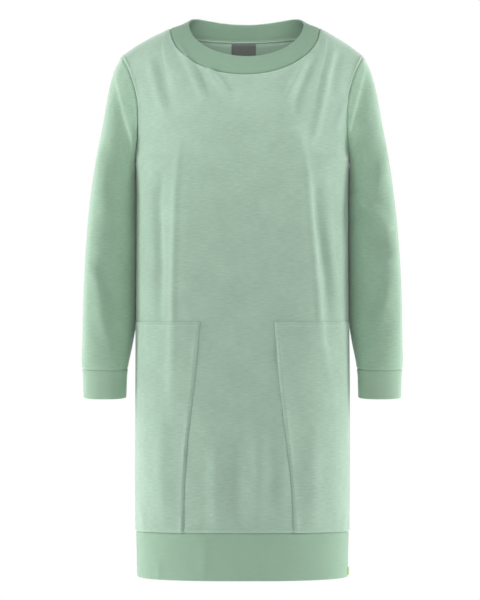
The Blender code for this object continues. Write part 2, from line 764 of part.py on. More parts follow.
def tab_object(name, band, colour):
    """Tab that leaves the wearer's left side seam and lies on the front hem band."""
    edge = band.points[:2, -2:]
    facing = band.normals[:2, -2:]
    height = edge[1, 1, 2] - edge[0, 1, 2]
    lifts = (TAB_LIFT / height, (TAB_LIFT + TAB_HEIGHT) / height)
    rows = []
    normals = []
    for lift in lifts:
        low_row = edge[0] + (edge[1] - edge[0]) * lift
        low_facing = facing[0] + (facing[1] - facing[0]) * lift
        near = 0.03
        rows.append([
            low_row[1] + (low_row[0] - low_row[1]) * TAB_LENGTH_SHARE,
            low_row[1] + (low_row[0] - low_row[1]) * near,
        ])
        normals.append([unit(low_facing[0] + low_facing[1]), unit(low_facing[0] + low_facing[1])])
    base = np.array(rows)
    out = np.array(normals)
    under = base + out * LAY_GAP
    return wall_object(name, under + out * LABEL_WALL, under, base, False, colour, 0.7)


def build():
    """Build every piece of the dress."""
    for item in list(bpy.data.objects):
        bpy.data.objects.remove(item, do_unlink=True)
    front_grid = front_points()
    back_grid = back_points()
    left_sleeve = sleeve_points(front_grid, back_grid, 1.0)
    right_sleeve = sleeve_points(front_grid, back_grid, -1.0)
    front = Sheet("front", front_grid, False, JERSEY_WALL)
    back = Sheet("back", back_grid, False, JERSEY_WALL)
    hem_front = Sheet("hem_band_front", hem_band_points(front_grid, True), False, BAND_WALL)
    hem_back = Sheet("hem_band_back", hem_band_points(back_grid, False), False, BAND_WALL)
    sheets = [
        front,
        back,
        Sheet("sleeve_left", left_sleeve, True, JERSEY_WALL),
        Sheet("sleeve_right", right_sleeve, True, JERSEY_WALL),
        Sheet("cuff_left", cuff_points(left_sleeve), True, BAND_WALL),
        Sheet("cuff_right", cuff_points(right_sleeve), True, BAND_WALL),
        Sheet("neckband", neckband_points(front_grid, back_grid), True, BAND_WALL),
        hem_front,
        hem_back,
    ]
    raise_folds(sheets)
    for sheet in sheets:
        cloth_object(sheet, "A3C0AE")
    pocket_object("pocket_left", front, 1.0, "A3C0AE")
    pocket_object("pocket_right", front, -1.0, "A3C0AE")
    label_object("neck_label", back, "77777D")
    tab_object("hem_tab", hem_front, "A8D060")


build()
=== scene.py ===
"""Looks of the sweatshirt dress: every sewn piece in knitted cloth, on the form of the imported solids.

The worn form is a set of surface functions, in millimetres: +Z up, -Y front, +X the wearer's left.
Each piece is a grid of points on its outer face. Pieces that are sewn together share their seam
points, normals and folds, so their rounded edges meet all along the seam. A level is the height of
a cross line at its two side edges.
"""
import logging
import math
from dataclasses import dataclass, field
from enum import Enum
from typing import NamedTuple, Sequence

import bmesh
import bpy
import numpy as np
from mathutils import Matrix, Vector


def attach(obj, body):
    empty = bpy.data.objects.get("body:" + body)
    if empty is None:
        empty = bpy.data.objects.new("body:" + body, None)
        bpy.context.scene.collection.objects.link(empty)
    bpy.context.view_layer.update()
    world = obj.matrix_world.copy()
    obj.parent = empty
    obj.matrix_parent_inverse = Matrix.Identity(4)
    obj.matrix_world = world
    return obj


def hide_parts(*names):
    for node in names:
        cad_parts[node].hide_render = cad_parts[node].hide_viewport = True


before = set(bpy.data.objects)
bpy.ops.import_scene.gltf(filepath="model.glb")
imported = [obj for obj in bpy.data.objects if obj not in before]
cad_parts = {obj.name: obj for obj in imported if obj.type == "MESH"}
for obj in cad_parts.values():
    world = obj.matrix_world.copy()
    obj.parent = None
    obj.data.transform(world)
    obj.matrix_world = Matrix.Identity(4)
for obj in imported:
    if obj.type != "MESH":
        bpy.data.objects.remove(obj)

MM = 0.001
# Rim points nearer than this, in metres, become one; levels nearer than this, in millimetres, are equal
WELD = 1e-7
LEVEL_MARGIN = 1e-6
LOG = logging.getLogger("dress")


class Face(Enum):
    """The two body panels."""

    FRONT = -1.0
    BACK = 1.0


class Side(Enum):
    """The wearer's two sides, by the sign of X."""

    LEFT = 1.0
    RIGHT = -1.0


def sided(name: str, side: Side) -> str:
    """Name of a piece that the dress has on both sides."""
    return f"{name}_{side.name.lower()}"


class EdgeRow(NamedTuple):
    """One point of the side seam or of an armhole."""

    level: float
    x: float
    y: float


class FormRow(NamedTuple):
    """Centre line and roundness of one cross line of a panel."""

    level: float
    z_centre: float
    y_centre: float
    edge_angle: float
    fullness: float


class PocketRow(NamedTuple):
    """Inner seams of the two pockets at one height."""

    z: float
    x_right: float
    x_left: float


class SleeveRow(NamedTuple):
    """One ring of a sleeve: outer and inner points, depth, tilt, roundness, lean back of the inner side."""

    station: float
    x_out: float
    z_out: float
    x_in: float
    z_in: float
    y_mid: float
    half_depth: float
    tilt: float
    roundness: float
    lean: float


class Fold(NamedTuple):
    """A soft ridge, or a trough where height is negative, along a line in the X-Z view.

    On a line that runs down, lee widens the slope on its +X side where it is positive, and the one
    on its -X side where it is negative, by that share.
    """

    face: Face
    height: float
    width: float
    line: tuple
    lee: float = 0.0


HEM_BOTTOM = -921.5
HEM_SEAM = -847.4
POCKET_TOP = -502.0
UNDERARM = -236.0
CHEST = -155.0
SHOULDER_TIP = -65.5

SIDE_SEAM = (
    EdgeRow(HEM_BOTTOM, 175.0, 3.0),
    EdgeRow(HEM_SEAM, 175.0, 3.0),
    EdgeRow(-740.0, 175.6, 3.0),
    EdgeRow(-620.0, 175.6, 3.0),
    EdgeRow(POCKET_TOP, 175.0, 3.0),
    EdgeRow(-400.0, 174.2, 3.0),
    EdgeRow(-320.0, 174.0, 3.0),
    EdgeRow(-262.0, 174.6, 3.5),
    EdgeRow(UNDERARM, 175.6, 4.0),
)
ARMHOLES = {
    Face.FRONT: (
        EdgeRow(UNDERARM, 175.6, 4.0),
        EdgeRow(-222.0, 174.6, -20.0),
        EdgeRow(-201.0, 172.0, -38.0),
        EdgeRow(-177.0, 171.2, -48.0),
        EdgeRow(CHEST, 171.4, -49.0),
        EdgeRow(-129.0, 175.0, -45.0),
        EdgeRow(-101.0, 183.0, -36.0),
        EdgeRow(-83.0, 190.5, -25.0),
        EdgeRow(-71.0, 197.0, -12.0),
        EdgeRow(SHOULDER_TIP, 200.0, 6.0),
    ),
    Face.BACK: (
        EdgeRow(UNDERARM, 175.6, 4.0),
        EdgeRow(-222.0, 175.0, 26.0),
        EdgeRow(-201.0, 174.5, 44.0),
        EdgeRow(-177.0, 174.5, 53.0),
        EdgeRow(CHEST, 175.0, 56.0),
        EdgeRow(-128.0, 178.0, 53.0),
        EdgeRow(-100.0, 184.0, 45.0),
        EdgeRow(-82.0, 191.0, 34.0),
        EdgeRow(-71.0, 197.0, 22.0),
        EdgeRow(SHOULDER_TIP, 200.0, 6.0),
    ),
}
PANEL_FORMS = {
    Face.FRONT: (
        FormRow(HEM_BOTTOM, -920.5, -117.0, 90.0, 2.35),
        FormRow(HEM_SEAM, -843.0, -118.0, 90.0, 2.35),
        FormRow(-740.0, -737.0, -117.0, 90.0, 2.35),
        FormRow(-620.0, -618.0, -115.0, 90.0, 2.3),
        FormRow(POCKET_TOP, -502.0, -112.0, 90.0, 2.3),
        FormRow(-400.0, -400.0, -107.5, 90.0, 2.27),
        FormRow(-320.0, -323.0, -107.0, 90.0, 2.32),
        FormRow(-262.0, -268.0, -111.5, 90.0, 2.42),
        FormRow(UNDERARM, -243.0, -115.0, 89.0, 2.42),
        FormRow(-222.0, -230.0, -118.5, 80.0, 2.3),
        FormRow(-201.0, -213.0, -121.5, 71.0, 2.2),
        FormRow(-177.0, -193.0, -122.0, 63.0, 2.2),
        FormRow(CHEST, -173.0, -118.5, 57.0, 2.2),
    ),
    Face.BACK: (
        FormRow(HEM_BOTTOM, -921.5, 111.0, 90.0, 2.35),
        FormRow(HEM_SEAM, -848.0, 112.0, 90.0, 2.35),
        FormRow(-740.0, -740.0, 112.0, 90.0, 2.35),
        FormRow(-620.0, -620.0, 109.5, 90.0, 2.3),
        FormRow(POCKET_TOP, -502.0, 105.5, 90.0, 2.3),
        FormRow(-400.0, -400.0, 101.5, 90.0, 2.3),
        FormRow(-320.0, -320.0, 102.0, 90.0, 2.38),
        FormRow(-262.0, -264.0, 104.5, 90.0, 2.4),
        FormRow(UNDERARM, -239.0, 106.0, 89.0, 2.38),
        FormRow(-222.0, -225.0, 106.8, 80.0, 2.28),
        FormRow(-201.0, -205.0, 107.5, 72.0, 2.2),
        FormRow(-177.0, -181.0, 107.5, 64.0, 2.2),
        FormRow(CHEST, -158.0, 106.0, 58.0, 2.2),
    ),
}
POCKET_SEAMS = (
    PocketRow(HEM_SEAM, -94.6, 83.0),
    PocketRow(-786.0, -94.0, 80.0),
    PocketRow(-706.0, -89.0, 71.5),
    PocketRow(-601.0, -77.5, 59.5),
    PocketRow(POCKET_TOP, -68.6, 51.8),
)
SLEEVE_FORM = (
    SleeveRow(0.00, 200.0, -65.5, 175.6, -236.0, 4.0, 50.0, 0.0, 0.0, 0.0),
    SleeveRow(0.06, 212.5, -92.0, 177.0, -245.0, 5.0, 52.0, 0.0, 0.35, 2.0),
    SleeveRow(0.13, 222.0, -130.0, 175.4, -260.0, 9.0, 54.0, 0.0, 0.75, 11.0),
    SleeveRow(0.22, 230.0, -178.0, 174.8, -284.0, 11.0, 54.0, 0.0, 1.0, 15.0),
    SleeveRow(0.32, 240.5, -232.0, 173.6, -314.0, 13.0, 53.0, 0.0, 1.0, 18.0),
    SleeveRow(0.43, 249.0, -290.0, 173.4, -352.0, 13.0, 52.0, 0.0, 1.0, 18.0),
    SleeveRow(0.54, 255.5, -350.0, 173.6, -394.0, 12.0, 51.0, 0.0, 1.0, 18.0),
    SleeveRow(0.66, 260.0, -415.0, 174.0, -441.0, 10.0, 49.0, 0.0, 1.0, 18.0),
    SleeveRow(0.78, 262.5, -478.0, 175.0, -492.0, 7.0, 46.0, 0.6, 1.0, 16.0),
    SleeveRow(0.88, 263.5, -530.0, 180.4, -535.0, 3.0, 43.0, 1.4, 1.0, 10.0),
    SleeveRow(0.95, 264.5, -562.0, 186.0, -563.5, -1.0, 39.5, 2.2, 1.0, 4.0),
    SleeveRow(1.00, 264.0, -579.5, 188.8, -579.5, -3.0, 37.0, 2.8, 1.0, 0.0),
)
FOLDS = (
    Fold(Face.FRONT, 6.4, 11.0, ((-92, -198), (-101, -240), (-105, -285), (-108, -450), (-109, -561),
                                 (-113, -668)), 2.6),
    Fold(Face.FRONT, 3.4, 6.0, ((-95, -200), (-103, -240), (-108, -290), (-111, -450), (-112, -561),
                                (-115, -640))),
    Fold(Face.FRONT, 3.2, 5.5, ((92, -200), (103, -240), (108, -290), (110, -338), (121, -460), (126, -530),
                                (136, -590))),
    Fold(Face.FRONT, -7.5, 8.0, ((-130, -252), (-137, -320), (-135, -420), (-134, -510))),
    Fold(Face.FRONT, 6.0, 9.5, ((88, -198), (99, -240), (104, -290), (106, -338), (118, -467), (123, -530),
                                (133, -581), (149, -636)), -2.8),
    Fold(Face.FRONT, -5.4, 7.5, ((115, -270), (122, -338), (136, -436), (141, -516))),
    Fold(Face.FRONT, 4.4, 8.0, ((136, -280), (142, -380), (153, -470), (158, -540))),
    Fold(Face.FRONT, 4.6, 6.5, ((-102, -48), (-88, -80), (-74, -112), (-58, -148))),
    Fold(Face.FRONT, -3.8, 7.0, ((-90, -64), (-72, -102), (-52, -142))),
    Fold(Face.FRONT, 4.0, 6.5, ((-60, -86), (-44, -108), (-22, -136))),
    Fold(Face.FRONT, -3.0, 7.0, ((-48, -90), (-30, -116), (-8, -138))),
    Fold(Face.FRONT, 4.6, 6.5, ((110, -64), (94, -96), (78, -126), (62, -156))),
    Fold(Face.FRONT, -3.8, 7.0, ((122, -66), (104, -98), (90, -134), (82, -168))),
    Fold(Face.FRONT, 4.8, 7.0, ((152, -52), (140, -92), (130, -140), (118, -196), (108, -230))),
    Fold(Face.FRONT, -4.2, 7.5, ((160, -58), (152, -96), (144, -140))),
    Fold(Face.FRONT, 3.6, 6.5, ((170, -126), (160, -160), (150, -200))),
    Fold(Face.FRONT, 3.4, 8.0, ((-152, -70), (-140, -120), (-124, -176))),
    Fold(Face.FRONT, -2.6, 8.0, ((-138, -64), (-126, -110), (-112, -160))),
    Fold(Face.FRONT, 3.0, 13.0, ((-156, -240), (-150, -300), (-156, -380))),
    Fold(Face.FRONT, 4.8, 13.0, ((24, -640), (27, -740), (26, -842))),
    Fold(Face.FRONT, 4.0, 11.0, ((-44, -700), (-43, -780), (-42, -845))),
    Fold(Face.FRONT, -3.0, 12.0, ((-8, -690), (-10, -842))),
    Fold(Face.FRONT, 3.2, 12.0, ((62, -560), (68, -680), (62, -842))),
    Fold(Face.FRONT, 3.0, 12.0, ((-126, -640), (-130, -760), (-124, -842))),
    Fold(Face.FRONT, 3.2, 12.0, ((118, -660), (112, -760), (116, -842))),
    Fold(Face.BACK, 4.6, 14.0, ((72, -290), (66, -470), (74, -700))),
    Fold(Face.BACK, -3.6, 12.0, ((44, -310), (40, -520))),
    Fold(Face.BACK, 4.6, 14.0, ((-64, -300), (-70, -500), (-60, -740))),
    Fold(Face.BACK, 3.4, 12.0, ((128, -330), (132, -600))),
    Fold(Face.BACK, 3.4, 12.0, ((-132, -280), (-126, -560))),
    Fold(Face.BACK, 3.2, 10.0, ((126, -90), (104, -150), (84, -210))),
    Fold(Face.BACK, 3.0, 10.0, ((-118, -84), (-100, -146), (-84, -200))),
    Fold(Face.BACK, 2.6, 9.0, ((160, -110), (140, -190), (136, -250))),
    Fold(Face.BACK, 2.6, 9.0, ((-158, -120), (-144, -184), (-138, -244))),
    Fold(Face.BACK, 3.6, 15.0, ((8, -640), (4, -838))),
    Fold(Face.BACK, 3.0, 13.0, ((96, -690), (92, -842))),
    Fold(Face.BACK, 3.0, 13.0, ((-104, -650), (-98, -842))),
)
SLEEVE_FOLDS = (
    Fold(Face.FRONT, -4.6, 2.9, ((207, -76), (204, -96), (197, -120), (189, -150), (181, -178),
                                 (175, -212)), 3.4),
    Fold(Face.FRONT, -4.6, 2.9, ((-213, -92), (-211, -112), (-202, -143), (-195, -172), (-187, -200),
                                 (-180, -232)), -3.4),
    Fold(Face.FRONT, 7.0, 11.0, ((186, -290), (204, -312), (224, -334), (246, -350))),
    Fold(Face.FRONT, -7.0, 14.0, ((182, -322), (202, -346), (224, -374), (244, -396))),
    Fold(Face.FRONT, 2.8, 10.0, ((236, -200), (228, -260), (216, -300))),
    Fold(Face.FRONT, 3.0, 11.0, ((246, -420), (230, -480), (212, -548))),
    Fold(Face.FRONT, -2.6, 10.0, ((222, -430), (208, -500))),
    Fold(Face.FRONT, 4.0, 10.0, ((-250, -404), (-238, -436), (-226, -480), (-220, -528))),
    Fold(Face.FRONT, -3.0, 12.0, ((-232, -396), (-218, -440), (-206, -500))),
    Fold(Face.FRONT, 3.4, 10.0, ((-246, -452), (-232, -500), (-210, -560))),
    Fold(Face.FRONT, 2.6, 12.0, ((-236, -210), (-230, -290), (-214, -350))),
    Fold(Face.BACK, 4.0, 11.0, ((200, -326), (224, -312), (248, -296))),
    Fold(Face.BACK, -3.0, 11.0, ((198, -350), (226, -340), (250, -326))),
    Fold(Face.BACK, 4.0, 11.0, ((-198, -346), (-224, -334), (-248, -320))),
    Fold(Face.BACK, 3.0, 10.0, ((-240, -420), (-222, -500), (-212, -560))),
    Fold(Face.BACK, 3.0, 10.0, ((240, -410), (226, -490), (214, -560))),
    Fold(Face.BACK, 2.6, 7.0, ((204, -100), (196, -140), (186, -190))),
    Fold(Face.BACK, 2.6, 7.0, ((-204, -104), (-194, -148), (-186, -196))),
)
FINE_FOLDS = (
    Fold(Face.FRONT, 6.6, 14.0, ((-124, -226), (-102, -196), (-52, -188), (20, -187), (80, -191),
                                 (108, -222))),
    Fold(Face.FRONT, 0.9, 4.0, ((-165, -795), (-161, -822), (-158, -846))),
    Fold(Face.FRONT, 1.2, 4.5, ((166, -812), (163, -846))),
    Fold(Face.FRONT, -0.9, 4.0, ((170, -822), (168, -846))),
    Fold(Face.FRONT, 0.9, 5.0, ((160, -486), (157, -512))),
    Fold(Face.FRONT, 1.0, 5.0, ((158, -530), (162, -546))),
    Fold(Face.FRONT, 1.4, 6.0, ((-128, -300), (-146, -318))),
    Fold(Face.FRONT, 1.6, 7.0, ((140, -262), (128, -300))),
    Fold(Face.FRONT, 1.4, 5.0, ((-135, -890), (-136, -925))),
    Fold(Face.FRONT, 1.6, 9.0, ((40, -850), (42, -925))),
    Fold(Face.FRONT, 1.6, 9.0, ((-60, -850), (-62, -925))),
    Fold(Face.BACK, 1.6, 9.0, ((30, -850), (34, -925))),
)


def curve_values(stations: Sequence[float], values: Sequence[float], at: np.ndarray) -> np.ndarray:
    """Read one column of a table between its rows, with rounded turns and no overshoot.

    Args:
        stations: the table's first column, rising.
        values: the column that is read.
        at: the places to read, of any shape.

    Returns:
        The value at each place.
    """
    stations = np.asarray(stations, dtype=float)
    values = np.asarray(values, dtype=float)
    steps = np.diff(stations)
    rises = np.diff(values) / steps
    slopes = np.concatenate([rises[:1], np.zeros(len(values) - 2), rises[-1:]])
    for i in range(1, len(values) - 1):
        if rises[i - 1] * rises[i] > 0:
            slopes[i] = 2 * rises[i - 1] * rises[i] / (rises[i - 1] + rises[i])
    k = np.clip(np.searchsorted(stations, at) - 1, 0, len(steps) - 1)
    share = (at - stations[k]) / steps[k]
    return hermite(values[k], values[k + 1], slopes[k] * steps[k], slopes[k + 1] * steps[k], share)


def hermite(start: np.ndarray, end: np.ndarray, leave: np.ndarray, arrive: np.ndarray,
            share: np.ndarray) -> np.ndarray:
    """Blend from start to end along a cubic.

    Args:
        start: values where the share is 0.
        end: values where the share is 1.
        leave: tangents at the start.
        arrive: tangents at the end.
        share: places along the cubic.

    Returns:
        The values at those places.
    """
    square = share * share
    cube = square * share
    out = (2 * cube - 3 * square + 1) * start + (cube - 2 * square + share) * leave
    return out + (3 * square - 2 * cube) * end + (cube - square) * arrive


def read_table(table: Sequence[NamedTuple], at: np.ndarray) -> list[np.ndarray]:
    """Read every column of a table.

    Args:
        table: rows whose first column rises.
        at: places in the first column.

    Returns:
        One array for each column.
    """
    columns = np.array(table, dtype=float).T
    return [curve_values(columns[0], column, at) for column in columns]


def lengths(vectors: np.ndarray) -> np.ndarray:
    """Lengths of vectors, with the last axis kept."""
    return np.linalg.norm(vectors, axis=-1, keepdims=True)


def unit(vectors: np.ndarray) -> np.ndarray:
    """Vectors at length one."""
    return vectors / np.maximum(lengths(vectors), 1e-12)


def stack(x: np.ndarray, y: np.ndarray, z: np.ndarray) -> np.ndarray:
    """Points from their three coordinates, which may differ in shape."""
    return np.stack(np.broadcast_arrays(x, y, z), axis=-1).astype(float)


def ease(share: np.ndarray) -> np.ndarray:
    """Smooth step from 0 to 1."""
    held = np.clip(share, 0.0, 1.0)
    return held * held * (3.0 - 2.0 * held)


def bell(away: np.ndarray, width: float | np.ndarray) -> np.ndarray:
    """Bell curve: 1 where the distance is 0, and about a third where it is the width."""
    return np.exp(-((away / width) ** 2))


def run_along(points: np.ndarray) -> np.ndarray:
    """Distance along a line at each of its points."""
    return np.concatenate([[0.0], np.cumsum(lengths(np.diff(points, axis=0))[:, 0])])


def resample(run: np.ndarray, values: np.ndarray, at: float | np.ndarray) -> np.ndarray:
    """Read a line's points or normals at other places.

    Args:
        run: place of each of the line's points, in any order.
        values: its points or normals.
        at: the places wanted.

    Returns:
        Three values for each place.
    """
    order = np.argsort(run, kind="stable")
    return np.stack([np.interp(at, run[order], values[order, i]) for i in range(3)], -1)


def linear_colour(hex_colour: str) -> tuple[float, float, float, float]:
    """Turn an sRGB colour to linear.

    Args:
        hex_colour: six hex digits.

    Returns:
        Red, green, blue and full alpha.
    """
    channels = []
    for i in (0, 2, 4):
        value = int(hex_colour[i:i + 2], 16) / 255.0
        channels.append(value / 12.92 if value <= 0.04045 else ((value + 0.055) / 1.055) ** 2.4)
    return (*channels, 1.0)


def add_node(tree: bpy.types.NodeTree, kind: str, settings: dict | None = None,
             links: dict | None = None) -> bpy.types.Node:
    """Add a node with its settings and links.

    Args:
        tree: the node tree.
        kind: the node's type name.
        settings: values by property name, or by input name or number.
        links: output sockets by input name or number.

    Returns:
        The node.
    """
    node = tree.nodes.new(kind)
    for key, value in (settings or {}).items():
        if isinstance(key, str) and hasattr(node, key):
            setattr(node, key, value)
        else:
            node.inputs[key].default_value = value
    for key, source in (links or {}).items():
        tree.links.new(source, node.inputs[key])
    return node


def empty_material(name: str) -> tuple[bpy.types.Material, bpy.types.NodeTree]:
    """Make a material whose node tree is still empty."""
    made = bpy.data.materials.new(name)
    made.use_nodes = True
    made.node_tree.nodes.clear()
    return made, made.node_tree


def shaded_colour(tree: bpy.types.NodeTree, hex_colour: str, shade: bpy.types.Node) -> bpy.types.NodeSocket:
    """Make a colour lighter and darker by a node's result.

    Args:
        tree: the node tree.
        hex_colour: the even ground.
        shade: the node whose result is the share of it.

    Returns:
        The socket with the shaded colour.
    """
    ground = add_node(tree, "ShaderNodeVectorMath", {
        "operation": "SCALE", 0: linear_colour(hex_colour)[:3],
    }, {"Scale": shade.outputs["Result"]})
    return ground.outputs["Vector"]


def wave_scale(width: float) -> float:
    """Scale of a wave texture whose ridges and grooves are each about that many millimetres wide."""
    return 1.0 / (width * MM) / math.pi / 2


@dataclass(frozen=True)
class KnitFinish:
    """Fine sweat jersey of cotton, dyed in the piece and brushed soft.

    Uneven yarn leaves short flat slubs along the courses, a touch lighter and darker than the
    ground. The brushed face is matt, and its fluff lightens where the cloth turns away. Real wales
    and slubs are finer than a pixel of the photograph, so both are drawn coarser here.
    """

    name: str = "brushed_sweat_jersey"
    colour: str = "A3BEAB"
    slub_contrast: float = 0.17
    slub_length: float = 14.0
    slub_height: float = 1.6
    wale_width: float = 1.3
    bump_height: float = 0.22
    sheen: float = 0.9
    patch_share: float = 0.45
    fluff_share: float = 0.35
    wale_share: float = 0.2
    wale_spacing: float = 0.98

    def make(self) -> bpy.types.Material:
        """Build the material."""
        made, tree = empty_material(self.name)
        cut = add_node(tree, "ShaderNodeUVMap", {"uv_map": "cut"}).outputs["UV"]
        per_metre = 1.0 / MM
        slub_scale = (per_metre / self.slub_length, per_metre / self.slub_height, 1.0)
        along = add_node(tree, "ShaderNodeMapping", {"Scale": slub_scale}, {"Vector": cut})
        slubs = add_node(tree, "ShaderNodeTexNoise", {"Scale": 1.0, "Detail": 3.0, "Roughness": 0.6},
                         {"Vector": along.outputs["Vector"]})
        patches = add_node(tree, "ShaderNodeTexNoise", {"Scale": 22.0, "Detail": 2.0}, {"Vector": cut})
        fluff = add_node(tree, "ShaderNodeTexNoise", {"Scale": 900.0, "Detail": 2.0}, {"Vector": cut})
        mixed = add_node(tree, "ShaderNodeMath", {"operation": "MULTIPLY_ADD", 1: self.patch_share},
                         {0: patches.outputs["Fac"], 2: slubs.outputs["Fac"]})
        mixed = add_node(tree, "ShaderNodeMath", {"operation": "MULTIPLY_ADD", 1: self.fluff_share},
                         {0: fluff.outputs["Fac"], 2: mixed.outputs["Value"]})
        shade = add_node(tree, "ShaderNodeMapRange", {
            "From Min": 0.55, "From Max": 1.25,
            "To Min": 1.0 - self.slub_contrast, "To Max": 1.0 + self.slub_contrast,
        }, {"Value": mixed.outputs["Value"]})
        ground = shaded_colour(tree, self.colour, shade)
        wales = add_node(tree, "ShaderNodeTexWave", {
            "wave_type": "BANDS", "bands_direction": "X",
            "Scale": wave_scale(self.wale_width) * self.wale_spacing,
            "Distortion": 1.2, "Detail": 1.0, "Detail Scale": 1.5,
        }, {"Vector": cut})
        relief = add_node(tree, "ShaderNodeMath", {"operation": "MULTIPLY_ADD", 1: self.wale_share},
                          {0: wales.outputs["Fac"], 2: mixed.outputs["Value"]})
        bump = add_node(tree, "ShaderNodeBump", {"Strength": 0.6, "Distance": self.bump_height * MM},
                        {"Height": relief.outputs["Value"]})
        shader = add_node(tree, "ShaderNodeBsdfPrincipled", {
            "Roughness": 0.92, "Specular IOR Level": 0.25, "IOR": 1.46,
            "Sheen Weight": self.sheen, "Sheen Roughness": 0.45,
            "Sheen Tint": linear_colour("E6F4EA"),
        }, {"Base Color": ground, "Normal": bump.outputs["Normal"]})
        add_node(tree, "ShaderNodeOutputMaterial", {}, {"Surface": shader.outputs["BSDF"]})
        return made


@dataclass(frozen=True)
class WovenFinish:
    """Narrow woven ribbon of polyester: fine cross ribs and a slight satin gloss."""

    name: str
    colour: str
    rib: float = 0.7
    roughness: float = 0.5

    def make(self) -> bpy.types.Material:
        """Build the material."""
        made, tree = empty_material(self.name)
        cut = add_node(tree, "ShaderNodeUVMap", {"uv_map": "cut"}).outputs["UV"]
        ribs = add_node(tree, "ShaderNodeTexWave", {
            "wave_type": "BANDS", "bands_direction": "Y", "Scale": wave_scale(self.rib),
            "Distortion": 0.4,
        }, {"Vector": cut})
        threads = add_node(tree, "ShaderNodeTexNoise", {"Scale": 1500.0, "Detail": 1.0}, {"Vector": cut})
        uneven = add_node(tree, "ShaderNodeMath", {"operation": "ADD"},
                          {0: ribs.outputs["Fac"], 1: threads.outputs["Fac"]})
        shade = add_node(tree, "ShaderNodeMapRange", {"From Max": 2.0, "To Min": 0.82, "To Max": 1.18},
                         {"Value": uneven.outputs["Value"]})
        ground = shaded_colour(tree, self.colour, shade)
        bump = add_node(tree, "ShaderNodeBump", {"Strength": 0.5, "Distance": 0.1 * MM},
                        {"Height": uneven.outputs["Value"]})
        shader = add_node(tree, "ShaderNodeBsdfPrincipled", {
            "Roughness": self.roughness, "Specular IOR Level": 0.4, "IOR": 1.5,
            "Sheen Weight": 0.1, "Sheen Roughness": 0.4,
        }, {"Base Color": ground, "Normal": bump.outputs["Normal"]})
        add_node(tree, "ShaderNodeOutputMaterial", {}, {"Surface": shader.outputs["BSDF"]})
        return made


@dataclass(frozen=True)
class ThreadFinish:
    """Spun polyester sewing thread, dyed to the cloth: a tight twist with a soft gloss."""

    name: str = "spun_polyester_thread"
    colour: str = "D2E8D7"

    def make(self) -> bpy.types.Material:
        """Build the material."""
        made, tree = empty_material(self.name)
        place = add_node(tree, "ShaderNodeTexCoord").outputs["Object"]
        twist = add_node(tree, "ShaderNodeTexWave", {
            "wave_type": "BANDS", "bands_direction": "DIAGONAL", "Scale": 320.0, "Distortion": 0.5,
        }, {"Vector": place})
        shade = add_node(tree, "ShaderNodeMapRange", {"To Min": 0.85, "To Max": 1.1},
                         {"Value": twist.outputs["Fac"]})
        ground = shaded_colour(tree, self.colour, shade)
        shader = add_node(tree, "ShaderNodeBsdfPrincipled", {
            "Roughness": 0.6, "Specular IOR Level": 0.4, "Sheen Weight": 0.15,
        }, {"Base Color": ground})
        add_node(tree, "ShaderNodeOutputMaterial", {}, {"Surface": shader.outputs["BSDF"]})
        return made


@dataclass(frozen=True)
class Sewing:
    """Sizes that all sewn pieces share, in millimetres."""

    cell: float = 3.3
    rim_steps: tuple = (0.0, 0.2, 0.5, 0.95, 1.55, 2.3, 3.3, 4.7)
    rim_radius: float = 1.0
    inner_rim_radius: float = 0.4
    rim_depth: float = 0.8
    taper: float = 7.0
    groove_width: float = 1.7
    plain_seam: float = 0.6
    armhole_seam: float = 1.0
    band_seam: float = 1.0
    neck_seam: float = 0.7
    ridge_share: float = 1.3
    sleeve_ridge_share: float = 0.35
    armhole_stitch: float = 2.6
    ridge_away: float = 4.0
    ridge_width: float = 1.7

    def stations(self, start: float, end: float, fine_start: bool = False,
                 fine_end: bool = False, cell: float | None = None) -> np.ndarray:
        """Places from start to end, crowded where a rim is rounded.

        Args:
            start: first place.
            end: last place.
            fine_start: whether the start is a rim.
            fine_end: whether the end is a rim.
            cell: step between the crowded ends.

        Returns:
            The places, start and end included.
        """
        step = self.cell if cell is None else cell
        rim = np.array(self.rim_steps)
        length = abs(end - start)
        head = rim if fine_start else rim[:1]
        tail = rim if fine_end else rim[:1]
        middle = length - head[-1] - tail[-1]
        cells = max(1, round(middle / step))
        inner = head[-1] + middle * np.arange(1, cells) / cells
        places = np.concatenate([head, inner, (length - tail)[::-1]])
        return start + math.copysign(1.0, end - start) * places


SEWING = Sewing()


